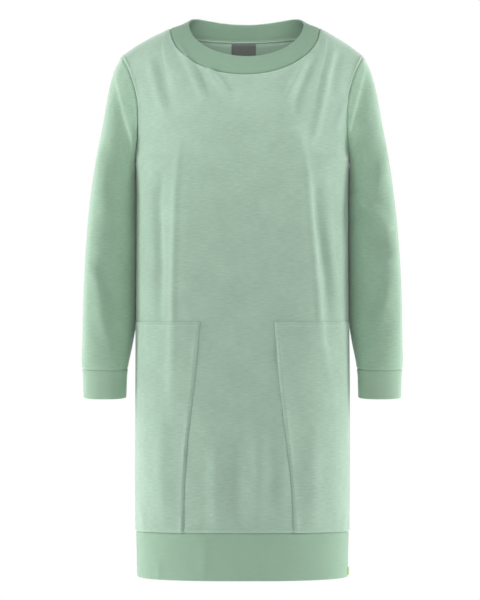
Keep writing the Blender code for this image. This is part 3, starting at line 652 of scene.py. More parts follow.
@dataclass
class ClothGrid:
    """Outer face of one piece: rows run up, columns run round it against the clock."""

    name: str
    points: np.ndarray
    wraps: bool = False
    normals: np.ndarray = field(default_factory=lambda: np.zeros(0))

    def corners(self) -> tuple[np.ndarray, ...]:
        """The four corner grids of the cells."""
        points = self.points
        if self.wraps:
            points = np.concatenate([points, points[:, :1]], axis=1)
        return points[:-1, :-1], points[:-1, 1:], points[1:, 1:], points[1:, :-1]

    def distance_along(self, axis: int, from_end: bool = False) -> np.ndarray:
        """Distance over the cloth from the first or last row or column.

        Args:
            axis: 0 up the columns, 1 along the rows.
            from_end: whether it is measured from the last one.

        Returns:
            One distance for each point.
        """
        steps = lengths(np.diff(self.points, axis=axis))[..., 0]
        pad = [(1, 0) if i == axis else (0, 0) for i in range(2)]
        run = np.cumsum(np.pad(steps, pad), axis=axis)
        if from_end:
            run = np.take(run, [-1], axis=axis) - run
        return run

    def rim_distances(self) -> dict[str, np.ndarray]:
        """Distance of each point from each rim of the piece."""
        found = {"low": self.distance_along(0), "high": self.distance_along(0, True)}
        if not self.wraps:
            found["first"] = self.distance_along(1)
            found["last"] = self.distance_along(1, True)
        return found

    def cut_place(self) -> np.ndarray:
        """Place of each point on the flat cut, in metres, for the pattern of the knit."""
        points = self.points
        if self.wraps:
            points = np.concatenate([points, points[:, :1]], axis=1)
        across = np.cumsum(np.pad(lengths(np.diff(points, axis=1))[..., 0], [(0, 0), (1, 0)]), axis=1)
        across -= across[:, [across.shape[1] // 2]]
        up = np.cumsum(np.pad(lengths(np.diff(points, axis=0))[..., 0], [(1, 0), (0, 0)]), axis=0)
        return np.stack([across, up], axis=-1) * MM


def share_normals(grids: Sequence[ClothGrid]) -> None:
    """Give each point the mean normal of all cells round it, also across the seams.

    Args:
        grids: pieces that are sewn together.
    """
    places, facings = [], []
    for grid in grids:
        corners = grid.corners()
        facing = np.cross(corners[2] - corners[0], corners[3] - corners[1]).reshape(-1, 3)
        for corner in corners:
            places.append(corner.reshape(-1, 3))
            facings.append(facing)
    own = [grid.points.reshape(-1, 3) for grid in grids]
    keys = np.round(np.concatenate(places + own) * 1000.0).astype(np.int64)
    _, inverse = np.unique(keys, axis=0, return_inverse=True)
    inverse = inverse.ravel()
    sums = np.zeros((inverse.max() + 1, 3))
    facing_all = np.concatenate(facings)
    np.add.at(sums, inverse[:len(facing_all)], facing_all)
    start = len(facing_all)
    for grid, flat in zip(grids, own):
        grid.normals = unit(sums[inverse[start:start + len(flat)]]).reshape(grid.points.shape)
        start += len(flat)


# How far a fold reaches, in widths; how it fades where the cloth turns away; how its ends taper
FOLD_REACH = 3.0
TURN_START = 0.1
TURN_RAMP = 0.3
END_TAPER = 0.7


def fold_heights(points: np.ndarray, normals: np.ndarray, folds: Sequence[Fold]) -> np.ndarray:
    """Height of all folds at points of the cloth.

    Args:
        points: the points, in any grid.
        normals: their normals.
        folds: the folds.

    Returns:
        The height at each point.
    """
    total = np.zeros(points.shape[:-1])
    spots = points[..., [0, 2]]
    for fold in folds:
        line = np.array(fold.line, dtype=float)
        reach = FOLD_REACH * fold.width * (1.0 + abs(fold.lee))
        near = np.all((spots > line.min(axis=0) - reach) & (spots < line.max(axis=0) + reach), axis=-1)
        weight = np.clip((normals[..., 1] * fold.face.value - TURN_START) / TURN_RAMP, 0.0, 1.0)
        near &= weight > 0.0
        if not near.any():
            continue
        spot = spots[near]
        parts = np.linalg.norm(np.diff(line, axis=0), axis=1)
        best = np.full(len(spot), np.inf)
        best_share = np.zeros(len(spot))
        best_side = np.zeros(len(spot))
        passed = 0.0
        for start, end, part in zip(line[:-1], line[1:], parts):
            along = np.clip((spot - start) @ (end - start) / part ** 2, 0.0, 1.0)
            away = np.linalg.norm(start + along[:, None] * (end - start) - spot, axis=1)
            closer = away < best
            best = np.where(closer, away, best)
            best_share = np.where(closer, (passed + along * part) / parts.sum(), best_share)
            step, off = end - start, spot - start
            best_side = np.where(closer, step[0] * off[:, 1] - step[1] * off[:, 0], best_side)
            passed += part
        taper = np.sin(math.pi * np.clip(best_share, 0.0, 1.0)) ** END_TAPER
        width = fold.width * (1.0 + abs(fold.lee) * (best_side * fold.lee > 0.0))
        total[near] += weight[near] * taper * fold.height * bell(best, width)
    return total


@dataclass(frozen=True)
class Puckers:
    """Small uneven puckers that cross the hem seam, in millimetres."""

    count: int = 27
    first_x: float = -158.0
    pitch: float = 12.2
    drift: float = 3.0
    slow_wave: float = 2.3
    fast_wave: float = 5.1
    fast_share: float = 0.6
    sag: float = 4.0
    half_width: float = 175.0
    height: float = 0.28
    height_change: float = 0.16
    height_wave: float = 3.7
    width: float = 3.2
    width_change: float = 0.5
    below: float = 9.0
    above: float = 15.0
    above_change: float = 4.0

    def folds(self) -> list[Fold]:
        """One small fold for each pucker, on the front and on the back."""
        puckers = []
        for face in Face:
            for i in range(self.count):
                wander = math.sin(i * self.slow_wave + face.value)
                wander += self.fast_share * math.sin(i * self.fast_wave)
                x = self.first_x + self.pitch * i + self.drift * wander
                level = HEM_SEAM + self.sag * (1.0 - (x / self.half_width) ** 2)
                height = self.height + self.height_change * math.sin(i * self.height_wave + 1.0)
                width = self.width + self.width_change * wander
                upper = level + self.above + self.above_change * wander
                puckers.append(Fold(face, height, width, ((x, level - self.below), (x + wander, upper))))
        return puckers


def body_folds() -> list[Fold]:
    """All folds of the body: large, fine and the puckers along the hem seam."""
    return [*FOLDS, *FINE_FOLDS, *Puckers().folds()]


@dataclass(frozen=True)
class WornForm:
    """The dress filled out as on the wearer: surface functions for its panels, in millimetres."""

    edge_reach: float = 46.0
    edge_steps: int = 13
    edge_grip: float = 14.0
    neck_share: float = 0.6
    neck_x: float = 4.3
    neck_half_width: float = 123.0
    neck_side: tuple = (5.0, -18.5)
    neck_front: tuple = (-88.0, -100.4)
    neck_back: tuple = (75.0, -35.0)
    neck_roundness: float = 0.68
    yoke_slope: float = 1.6
    yoke_spread: float = 0.75
    spread_fade: float = 1.5
    yoke_grip: int = 5
    chest_step: float = 6.0
    seam_slope: float = 0.5
    front_turn: float = 0.68
    back_turn: float = 1.6
    shoulder_drop: float = 40.0
    shoulder_round: float = 7.0
    shoulder_turn: int = 4
    tip_x: float = 200.0
    tip_y: float = 6.0
    collar_x: float = 6.4
    collar_half_width: float = 94.6
    collar_side: tuple = (-1.0, -9.9)
    collar_front: tuple = (-73.0, -70.0)
    collar_back_y: float = 59.0
    collar_back_rise: float = 37.2
    collar_back_fall: float = 34.9
    collar_roundness: float = 0.75
    collar_roll: float = 2.0

    def edge(self, face: Face, level: np.ndarray) -> tuple[np.ndarray, np.ndarray]:
        """X and Y of the side seam, or of the armhole above it, on the +X side.

        Args:
            face: front or back.
            level: heights of the edge points.

        Returns:
            Their X and their Y.
        """
        seam = read_table(SIDE_SEAM, np.minimum(level, UNDERARM))
        armhole = read_table(ARMHOLES[face], np.maximum(level, UNDERARM))
        above = level > UNDERARM
        return np.where(above, armhole[1], seam[1]), np.where(above, armhole[2], seam[2])

    def lower(self, face: Face, level: np.ndarray, across: np.ndarray) -> np.ndarray:
        """Points of a panel below the yoke.

        Args:
            face: front or back.
            level: levels of the points.
            across: places from -1 to 1 between the side edges.

        Returns:
            The points.
        """
        _, z_centre, y_centre, edge_angle, fullness = read_table(PANEL_FORMS[face], level)
        half_width, y_edge = self.edge(face, level)
        steps = np.linspace(-self.edge_reach, self.edge_reach, self.edge_steps)
        soft_y = np.mean([self.edge(face, level + step)[1] for step in steps], axis=0)
        y_edge = soft_y + (y_edge - soft_y) * np.abs(across) ** self.edge_grip
        power = 2.0 / fullness
        edge = np.radians(edge_angle)
        angle = edge * np.abs(across)
        sideways = (np.sin(angle) / np.sin(edge)) ** power
        edge_cosine = np.maximum(np.cos(edge), 0.0) ** power
        ahead = (np.maximum(np.cos(angle), 0.0) ** power - edge_cosine) / (1.0 - edge_cosine)
        x = np.copysign(half_width * sideways, across)
        return stack(x, y_edge + (y_centre - y_edge) * ahead, z_centre + (level - z_centre) * across ** 2)

    def top(self, face: Face, across: np.ndarray) -> np.ndarray:
        """Points on a panel's upper edge: shoulder seam, neck seam, shoulder seam.

        Args:
            face: front or back.
            across: places from -1 to 1.

        Returns:
            The points.
        """
        side_y, side_z = self.neck_side
        centre_y, centre_z = self.neck_front if face is Face.FRONT else self.neck_back
        out = np.maximum(0.0, (np.abs(across) - self.neck_share) / (1.0 - self.neck_share))
        neck_x = self.neck_x + np.copysign(self.neck_half_width, across)
        shoulder = stack(
            neck_x + (np.copysign(self.tip_x, across) - neck_x) * out,
            side_y + (self.tip_y - side_y) * out,
            side_z - self.shoulder_drop * out - self.shoulder_round * out ** self.shoulder_turn,
        )
        turn = 0.5 * math.pi * np.clip(across / self.neck_share, -1.0, 1.0)
        cosine = np.maximum(np.cos(turn), 0.0)
        neck = stack(
            self.neck_x + self.neck_half_width * np.sin(turn),
            side_y + (centre_y - side_y) * cosine ** self.neck_roundness,
            side_z + (centre_z - side_z) * cosine,
        )
        return np.where((np.abs(across) >= self.neck_share)[..., None], shoulder, neck)

    def column(self, face: Face, across: np.ndarray, rise: np.ndarray) -> np.ndarray:
        """Points on the columns that climb from the chest line to the upper edge.

        Args:
            face: front or back.
            across: places from -1 to 1.
            rise: places up the columns, from 0 to 1.

        Returns:
            The points.
        """
        chest = np.full_like(across, CHEST)
        start = self.lower(face, chest, across)
        below = self.lower(face, chest - self.chest_step, across)
        end = self.top(face, across)
        reach = lengths(end - start)
        turn = 0.5 * math.pi * np.minimum(1.0, np.abs(across) / self.neck_share)
        bend = self.front_turn if face is Face.FRONT else self.back_turn
        upright = self.yoke_slope * np.maximum(np.cos(turn), 0.0) ** bend
        outward = np.clip((np.abs(across) - self.neck_share) / (1.0 - self.neck_share), 0.0, 1.0)
        inward = self.yoke_spread * np.sin(turn) * (1.0 - outward) ** self.spread_fade
        arrive = unit(stack(-np.copysign(inward, across), -face.value, upright + self.seam_slope * inward))
        return hermite(start, end, unit(start - below) * reach, arrive * reach, rise[..., None])

    def panel(self, face: Face, level: np.ndarray, across: np.ndarray) -> np.ndarray:
        """Points of the front or back panel.

        Args:
            face: front or back.
            level: levels of the points.
            across: places from -1 to 1.

        Returns:
            The points.
        """
        level, across = np.broadcast_arrays(np.asarray(level, float), np.asarray(across, float))
        low = self.lower(face, np.minimum(level, CHEST), across)
        above = np.maximum(level, CHEST)
        rise = (above - CHEST) / (SHOULDER_TIP - CHEST)
        side = np.copysign(1.0, across)
        point = self.column(face, across, rise)
        edge_x, edge_y = self.edge(face, above)
        pull = stack(side * edge_x, edge_y, above) - self.column(face, side, rise)
        yoke = point + pull * (np.abs(across) ** self.yoke_grip)[..., None]
        return np.where((level <= CHEST)[..., None], low, yoke)

    def collar(self, turn: np.ndarray) -> np.ndarray:
        """Points on the neckband's upper edge.

        Args:
            turn: angles, 0 at the front and pi at the back.

        Returns:
            The points.
        """
        side_y, side_z = self.collar_side
        front_y, front_z = self.collar_front
        ahead = np.maximum(np.cos(turn), 0.0)
        behind = np.maximum(-np.cos(turn), 0.0)
        y = side_y + (front_y - side_y) * ahead ** self.collar_roundness
        y = y + (self.collar_back_y - side_y) * behind ** self.collar_roundness
        z = side_z + (front_z - side_z) * ahead
        z = z + self.collar_back_rise * behind - self.collar_back_fall * behind ** 2
        return stack(self.collar_x + self.collar_half_width * np.sin(turn), y, z)

    def pocket_share(self, level: np.ndarray, x: np.ndarray) -> np.ndarray:
        """Places across the skirt front that have the X given.

        Args:
            level: levels of the places.
            x: their X.

        Returns:
            Places from -1 to 1.
        """
        fullness = read_table(PANEL_FORMS[Face.FRONT], level)[4]
        half_width = self.edge(Face.FRONT, level)[0]
        sine = (np.abs(x) / half_width) ** (fullness / 2.0)
        return np.copysign(np.arcsin(sine) / (0.5 * math.pi), x)


@dataclass
class Pattern:
    """Master grids of all sewn pieces, which share their seam points."""

    form: WornForm = field(default_factory=WornForm)
    armhole_cells: int = 32
    yoke_cells: int = 34
    neck_cells: int = 92
    shoulder_cells: int = 30
    edge_shares: tuple = (0.0, 0.0006, 0.0018, 0.0036, 0.006, 0.0092, 0.0134, 0.0188, 0.0255)
    armhole_crowding: float = 1.35
    yoke_cell: float = 2.7
    model_armhole_rows: int = 5
    model_armhole_crowding: float = 1.6
    model_yoke_rows: int = 7
    model_yoke_crowding: float = 1.5
    neckband_height: float = 34.0
    neckband_cell: float = 2.6
    sleeve_length: float = 470.0
    ring_power: float = 0.8
    hem_draw_in: float = 1.5
    hem_cell: float = 3.0
    cuff_height: float = 47.5
    cuff_step: float = 0.9
    cuff_taper: float = 1.4
    cuff_cell: float = 2.6
    cuff_step_share: float = 3.0

    def neck_start(self) -> int:
        """Index of a panel's first column in the neck seam."""
        return len(self.edge_shares) + self.shoulder_cells - 1

    def underarm_row(self) -> int:
        """Index of the panels' row at the underarm."""
        return int(np.argmin(np.abs(self.levels() - UNDERARM)))

    def levels(self) -> np.ndarray:
        """Levels of the panel rows, from the hem seam to the shoulder tip."""
        lower = SEWING.stations(HEM_SEAM, UNDERARM, fine_start=True)
        climb = np.linspace(0, 1, self.armhole_cells + 1) ** self.armhole_crowding
        armhole = UNDERARM + (CHEST - UNDERARM) * climb
        yoke = SEWING.stations(CHEST, SHOULDER_TIP, fine_end=True, cell=self.yoke_cell)
        return np.concatenate([lower, armhole[1:], yoke[1:]])

    def shares(self) -> np.ndarray:
        """Places of the columns across a panel, from -1 to 1."""
        edge = np.array(self.edge_shares)
        neck = self.form.neck_share
        outer = np.linspace(edge[-1], 1.0 - neck, self.shoulder_cells + 1)
        side = 1.0 - np.concatenate([edge, outer[1:]])
        middle = np.linspace(-neck, neck, self.neck_cells + 1)
        return np.concatenate([-side, middle[1:-1], side[::-1]])

    def panel(self, face: Face) -> ClothGrid:
        """Grid of a body panel; the front's columns run from -X, the back's from +X."""
        shares = self.shares() if face is Face.FRONT else -self.shares()
        points = self.form.panel(face, self.levels()[:, None], shares[None, :])
        return ClothGrid(face.name.lower(), points)

    def hem_band(self, panel: ClothGrid, face: Face) -> ClothGrid:
        """Grid of a hem band, whose upper row is the panel's lower row.

        Args:
            panel: the panel above it.
            face: front or back.

        Returns:
            The grid, from the hem up.
        """
        seam = panel.points[0]
        centre_z = read_table(PANEL_FORMS[face], np.array([HEM_BOTTOM]))[1][0]
        height = HEM_SEAM - HEM_BOTTOM
        fall = (1.0 - SEWING.stations(0.0, height, True, True, self.hem_cell) / height)[:, None]
        share = seam[:, 0] / abs(seam[-1, 0])
        bottom = centre_z + (HEM_BOTTOM - centre_z) * share ** 2
        drawn_in = 1.0 - self.hem_draw_in * fall / abs(seam[-1, 0])
        down = seam[:, 2] + (bottom - seam[:, 2]) * fall
        points = stack(seam[:, 0] * drawn_in, seam[:, 1] * drawn_in, down)
        return ClothGrid("hem_band_" + face.name.lower(), points)

    def neckband(self, front: ClothGrid, back: ClothGrid) -> ClothGrid:
        """Grid of the neckband, from the neck seam to its upper edge.

        Args:
            front: the front panel.
            back: the back panel.

        Returns:
            The grid, a closed ring.
        """
        first = self.neck_start()
        last = first + self.neck_cells
        ring = np.concatenate([front.points[-1, first:last], back.points[-1, first:last]])
        turns = math.pi * (np.arange(2 * self.neck_cells) / self.neck_cells - 0.5)
        upper = self.form.collar(turns)
        away = unit((ring - np.array([self.form.neck_x, 0.0, 0.0])) * np.array([1.0, 1.0, 0.0]))
        height = self.neckband_height
        share = (SEWING.stations(0.0, height, True, True, self.neckband_cell) / height)[:, None, None]
        row = ring + (upper - ring) * share
        return ClothGrid("neckband", row + away * self.form.collar_roll * np.sin(math.pi * share), True)

    def armhole(self, front: ClothGrid, back: ClothGrid, side: Side) -> tuple[np.ndarray, np.ndarray]:
        """Armhole points in ring order, with each one's share of the way round.

        Args:
            front: the front panel.
            back: the back panel.
            side: which armhole.

        Returns:
            The points, and their shares from 0 to 1.
        """
        first = self.underarm_row()
        climb = np.linspace(0.0, 1.0, self.model_armhole_rows + 1) ** self.model_armhole_crowding
        fall = np.linspace(1.0, 0.0, self.model_yoke_rows + 1) ** self.model_yoke_crowding
        known = np.concatenate([UNDERARM + (CHEST - UNDERARM) * climb,
                                SHOULDER_TIP + (CHEST - SHOULDER_TIP) * fall[1:]])
        up = np.interp(self.levels()[first:], known, np.linspace(0.0, 0.5, len(known)))
        front_edge = front.points[first:, -1 if side is Side.LEFT else 0]
        back_edge = back.points[first:, 0 if side is Side.LEFT else -1]
        near, far = (front_edge, back_edge) if side is Side.LEFT else (back_edge, front_edge)
        shares = np.concatenate([up[:-1], 1.0 - up[:0:-1]])
        return np.concatenate([near[:-1], far[:0:-1]]), shares

    def sleeve(self, front: ClothGrid, back: ClothGrid, side: Side) -> ClothGrid:
        """Grid of a sleeve from the cuff seam up: the armhole's shape, rounded off down the arm.

        Args:
            front: the front panel.
            back: the back panel.
            side: which sleeve.

        Returns:
            The grid, a closed tube.
        """
        armhole, shares = self.armhole(front, back, side)
        length = self.sleeve_length
        station = 1.0 - SEWING.stations(0.0, length, True, True) / length
        _, x_out, z_out, x_in, z_in, y_mid, half_depth, tilt, roundness, lean = (
            column[:, None] for column in read_table(SLEEVE_FORM, station))
        start = SLEEVE_FORM[0]
        start_x, start_z = 0.5 * (start.x_out + start.x_in), 0.5 * (start.z_out + start.z_in)
        start_middle = np.array([start_x, start.y_mid, start_z])
        start_half = np.array([0.5 * (start.x_out - start.x_in), 0.0, 0.5 * (start.z_out - start.z_in)])
        start_size = float(np.linalg.norm(start_half))
        start_off = unit(np.array([start_half[2], 0.0, -start_half[0]]))
        half_x, half_z = 0.5 * (x_out - x_in), 0.5 * (z_out - z_in)
        half_size = np.hypot(half_x, half_z)
        local = armhole * np.array([side.value, 1.0, 1.0]) - start_middle
        climb = local @ start_half / start_size ** 2
        depth = local[:, 1] / start.half_depth
        bulge = local @ start_off
        seam_turn = np.arccos(np.clip(-climb, -1.0, 1.0))
        seam_turn = np.where(shares <= 0.5, seam_turn, 2.0 * math.pi - seam_turn)
        turn = seam_turn + (2.0 * math.pi * shares - seam_turn) * roundness
        cosine, sine = np.cos(turn), np.sin(turn)
        climb = climb + (-np.copysign(np.abs(cosine) ** self.ring_power, cosine) - climb) * roundness
        depth = depth + (-side.value * np.copysign(np.abs(sine) ** self.ring_power, sine) - depth) * roundness
        flat = bulge * (1.0 - roundness)
        x = 0.5 * (x_out + x_in) + half_x * climb + half_z / half_size * flat
        z = 0.5 * (z_out + z_in) + half_z * climb - half_x / half_size * flat + tilt * depth
        points = stack(side.value * x, y_mid + half_depth * depth - lean * climb, z)
        points[-1] = armhole
        return ClothGrid(sided("sleeve", side), points, True)

    def cuff(self, sleeve: ClothGrid, side: Side) -> ClothGrid:
        """Grid of a cuff, whose upper row is the sleeve's lower row.

        Args:
            sleeve: the sleeve above it.
            side: which cuff.

        Returns:
            The grid, a closed tube.
        """
        seam = sleeve.points[0]
        height = self.cuff_height
        fall = (1.0 - SEWING.stations(0.0, height, True, True, self.cuff_cell) / height)[:, None, None]
        away = unit((seam - seam.mean(axis=0)) * np.array([1.0, 1.0, 0.0]))
        drawn_in = self.cuff_step * np.minimum(1.0, self.cuff_step_share * fall) + self.cuff_taper * fall
        points = seam - away * drawn_in - np.array([0.0, 0.0, height]) * fall
        return ClothGrid(sided("cuff", side), points, True)


@dataclass
class SewnPiece:
    """One closed cloth wall with rounded rims, built on its grid and dressed.

    The wall is in millimetres and may differ from point to point. The flat cut is in metres.
    """

    grid: ClothGrid
    wall: float | np.ndarray
    finish: bpy.types.Material
    slot: str

    def rounding(self, radius: float) -> np.ndarray:
        """Share of the full wall at each point: none on a rim, all past the radius.

        Args:
            radius: how far the rounding reaches in from a rim.

        Returns:
            The shares, with one last axis.
        """
        nearest = np.min(np.stack(list(self.grid.rim_distances().values())), axis=0)
        inside = np.clip(nearest / radius, 0.0, 1.0)
        return np.sqrt(1.0 - (1.0 - inside) ** 2)[..., None]

    def layers(self) -> tuple[np.ndarray, np.ndarray]:
        """Outer and inner points, which meet on the rims."""
        grid = self.grid
        wall = np.broadcast_to(np.asarray(self.wall, float), grid.points.shape[:2])[..., None]
        depth = np.minimum(SEWING.rim_depth, 0.5 * wall)
        outer = grid.points - grid.normals * depth * (1.0 - self.rounding(SEWING.rim_radius))
        inner_share = self.rounding(SEWING.inner_rim_radius)
        inner = grid.points - grid.normals * (depth + (wall - depth) * inner_share)
        return outer, inner

    def build(self) -> bpy.types.Object:
        """Build the wall from two sheets of one grid, welded along the rims.

        Returns:
            The finished object, riding on the dress.
        """
        grid = self.grid
        rows, columns = grid.points.shape[:2]
        cells = columns if grid.wraps else columns - 1
        work = bmesh.new()
        bmesh.ops.create_grid(work, x_segments=cells, y_segments=rows - 1, size=1.0)
        bmesh.ops.duplicate(work, geom=work.faces[:])
        work.faces.ensure_lookup_table()
        half = len(work.faces) // 2
        bmesh.ops.reverse_faces(work, faces=work.faces[half:])
        outer, inner = self.layers()
        place = grid.cut_place()
        cut = work.loops.layers.uv.new("cut")
        rim = []
        for layer, faces in ((outer, work.faces[:half]), (inner, work.faces[half:])):
            verts = {vert for face in faces for vert in face.verts}
            spot = {}
            for vert in verts:
                column = round((vert.co.x + 1.0) * 0.5 * cells)
                row = round((vert.co.y + 1.0) * 0.5 * (rows - 1))
                spot[vert] = (row, column)
                if row in (0, rows - 1) or column in (0, cells):
                    rim.append(vert)
            for face in faces:
                face.smooth = True
                for loop in face.loops:
                    loop[cut].uv = place[spot[loop.vert]]
            for vert, (row, column) in spot.items():
                vert.co = layer[row, column % columns] * MM
        bmesh.ops.remove_doubles(work, verts=rim, dist=WELD)
        return place_piece(work, "cloth_" + grid.name, self.finish, grid.name)


def place_piece(work: bmesh.types.BMesh, name: str, finish: bpy.types.Material,
                replaced: str | None = None) -> bpy.types.Object:
    """Put a finished mesh into the scene as a piece of the dress.

    Args:
        work: the mesh, in metres, freed here.
        name: the piece's name.
        finish: its material.
        replaced: the solid that it stands for, if any.

    Returns:
        The object.
    """
    mesh = bpy.data.meshes.new(name)
    work.to_mesh(mesh)
    work.free()
    mesh.materials.append(finish)
    piece = bpy.data.objects.new(name, mesh)
    bpy.context.scene.collection.objects.link(piece)
    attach(piece, "root")
    if replaced:
        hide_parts(replaced)
    LOG.info("%s: %d faces", name, len(mesh.polygons))
    return piece


def path_at(grid: ClothGrid, away: np.ndarray, value: float, columns: slice) -> tuple[np.ndarray, np.ndarray]:
    """Line over a piece at one distance from its lower or upper rim.

    Args:
        grid: the piece.
        away: distance of each point from the rim.
        value: the distance wanted.
        columns: the columns that the line crosses.

    Returns:
        Points and normals, one for each column.
    """
    points, normals = [], []
    for column in range(*columns.indices(grid.points.shape[1])):
        run = away[:, column]
        order = np.argsort(run)
        both = np.concatenate([grid.points[:, column], grid.normals[:, column]], axis=1)[order]
        read = [np.interp(value, run[order], both[:, i]) for i in range(6)]
        points.append(read[:3])
        normals.append(read[3:])
    return np.array(points), unit(np.array(normals))


@dataclass
class StitchRow:
    """A row of lockstitches that lie in the cloth, sizes in millimetres."""

    name: str
    finish: bpy.types.Material
    slot: str
    pitch: float = 3.1
    length: float = 2.3
    radius: float = 0.32
    sink: float = 0.1
    reach: float = 1.0

    def build(self, paths: Sequence[tuple[np.ndarray, np.ndarray]]) -> bpy.types.Object:
        """Lay one stitch after another along the paths.

        Args:
            paths: points and normals of each line.

        Returns:
            The stitches as one object.
        """
        work = bmesh.new()
        for points, normals in paths:
            run = run_along(points)
            for at in np.arange(0.5 * self.pitch, run[-1], self.pitch):
                spot = Vector(resample(run, points, at))
                ahead = Vector(resample(run, points, min(at + self.reach, run[-1])))
                behind = Vector(resample(run, points, max(at - self.reach, 0.0)))
                up = Vector(resample(run, normals, at)).normalized()
                along = (ahead - behind).normalized()
                across = up.cross(along).normalized()
                turn = Matrix((along, across, up)).transposed().to_4x4()
                size = Matrix.Diagonal((0.5 * self.length * MM, self.radius * MM, self.radius * MM, 1.0))
                centre = (spot - up * self.sink) * MM
                bmesh.ops.create_icosphere(work, subdivisions=1, radius=1.0,
                                           matrix=Matrix.Translation(centre) @ turn @ size)
        for face in work.faces:
            face.smooth = True
        return place_piece(work, self.name, self.finish)


@dataclass(frozen=True)
class Unevenness:
    """Slow swells of soft cloth: two waves whose lengths, in millimetres, never fall in step."""

    height: float = 0.35
    broad: tuple = (23.0, 151.0, 0.7)
    broad_rise: tuple = (87.0, 41.0)
    fine_share: float = 0.6
    fine: tuple = (11.5, 260.0, 2.1)
    fine_rise: tuple = (61.0, 1.3)

    def at(self, points: np.ndarray) -> np.ndarray:
        """Height of the swells at each point."""
        x, y, z = (points[..., i] for i in range(3))
        over, down, shift = self.broad
        slow = np.sin(x / over + z / down + shift) * np.sin(z / self.broad_rise[0] + y / self.broad_rise[1])
        over, down, shift = self.fine
        rise, rise_shift = self.fine_rise
        slow += self.fine_share * np.sin(x / over - z / down + shift) * np.sin(z / rise + rise_shift)
        return self.height * slow


@dataclass(frozen=True)
class PocketSizes:
    """How a pocket panel lies on the front and how its edges are turned, in millimetres."""

    wall: float = 1.3
    gap: float = 0.3
    thin_wall: float = 0.3
    rest_gap: float = 0.1
    cell: float = 3.1
    column_cell: float = 3.0
    column_span: float = 100.0
    edge_spread: float = 2.0
    edge_margin: float = 0.01
    seam_fade: float = 12.0
    turned_height: float = 1.3
    turned_away: float = 4.2
    turned_width: float = 2.6
    uneven: tuple = ((0.3, 9.0, 0.0), (0.25, 23.0, 1.0))
    uneven_ground: float = 0.8
    hem_height: float = 0.4
    hem_away: float = 5.0
    hem_width: float = 3.6
    stitch_rows: tuple = (2.0, 7.2)
    spare_columns: int = 2
    stitch_dent: float = 0.28
    stitch_width: float = 0.9
    thin_width: float = 3.4
    thin_share: float = 0.62
    sink_share: float = 0.8


@dataclass(frozen=True)
class LabelSizes:
    """Woven label inside the back neck, in millimetres."""

    width: float = 41.0
    height: float = 23.0
    wall: float = 0.7
    centre_x: float = 2.4
    down: float = 3.0
    gap: float = 0.25
    loose: float = 0.9
    belly: float = 0.5
    row_cell: float = 1.6
    column_cell: float = 1.8
    half_reach: int = 12


@dataclass(frozen=True)
class TabSizes:
    """Ribbon tab in the side seam of the hem band, in millimetres."""

    height: float = 12.5
    width: float = 12.0
    seam_away: float = 0.6
    up: float = 1.6
    wall: float = 1.0
    gap: float = 0.3
    belly: float = 0.5
    cell: float = 1.4
    reach: int = 12


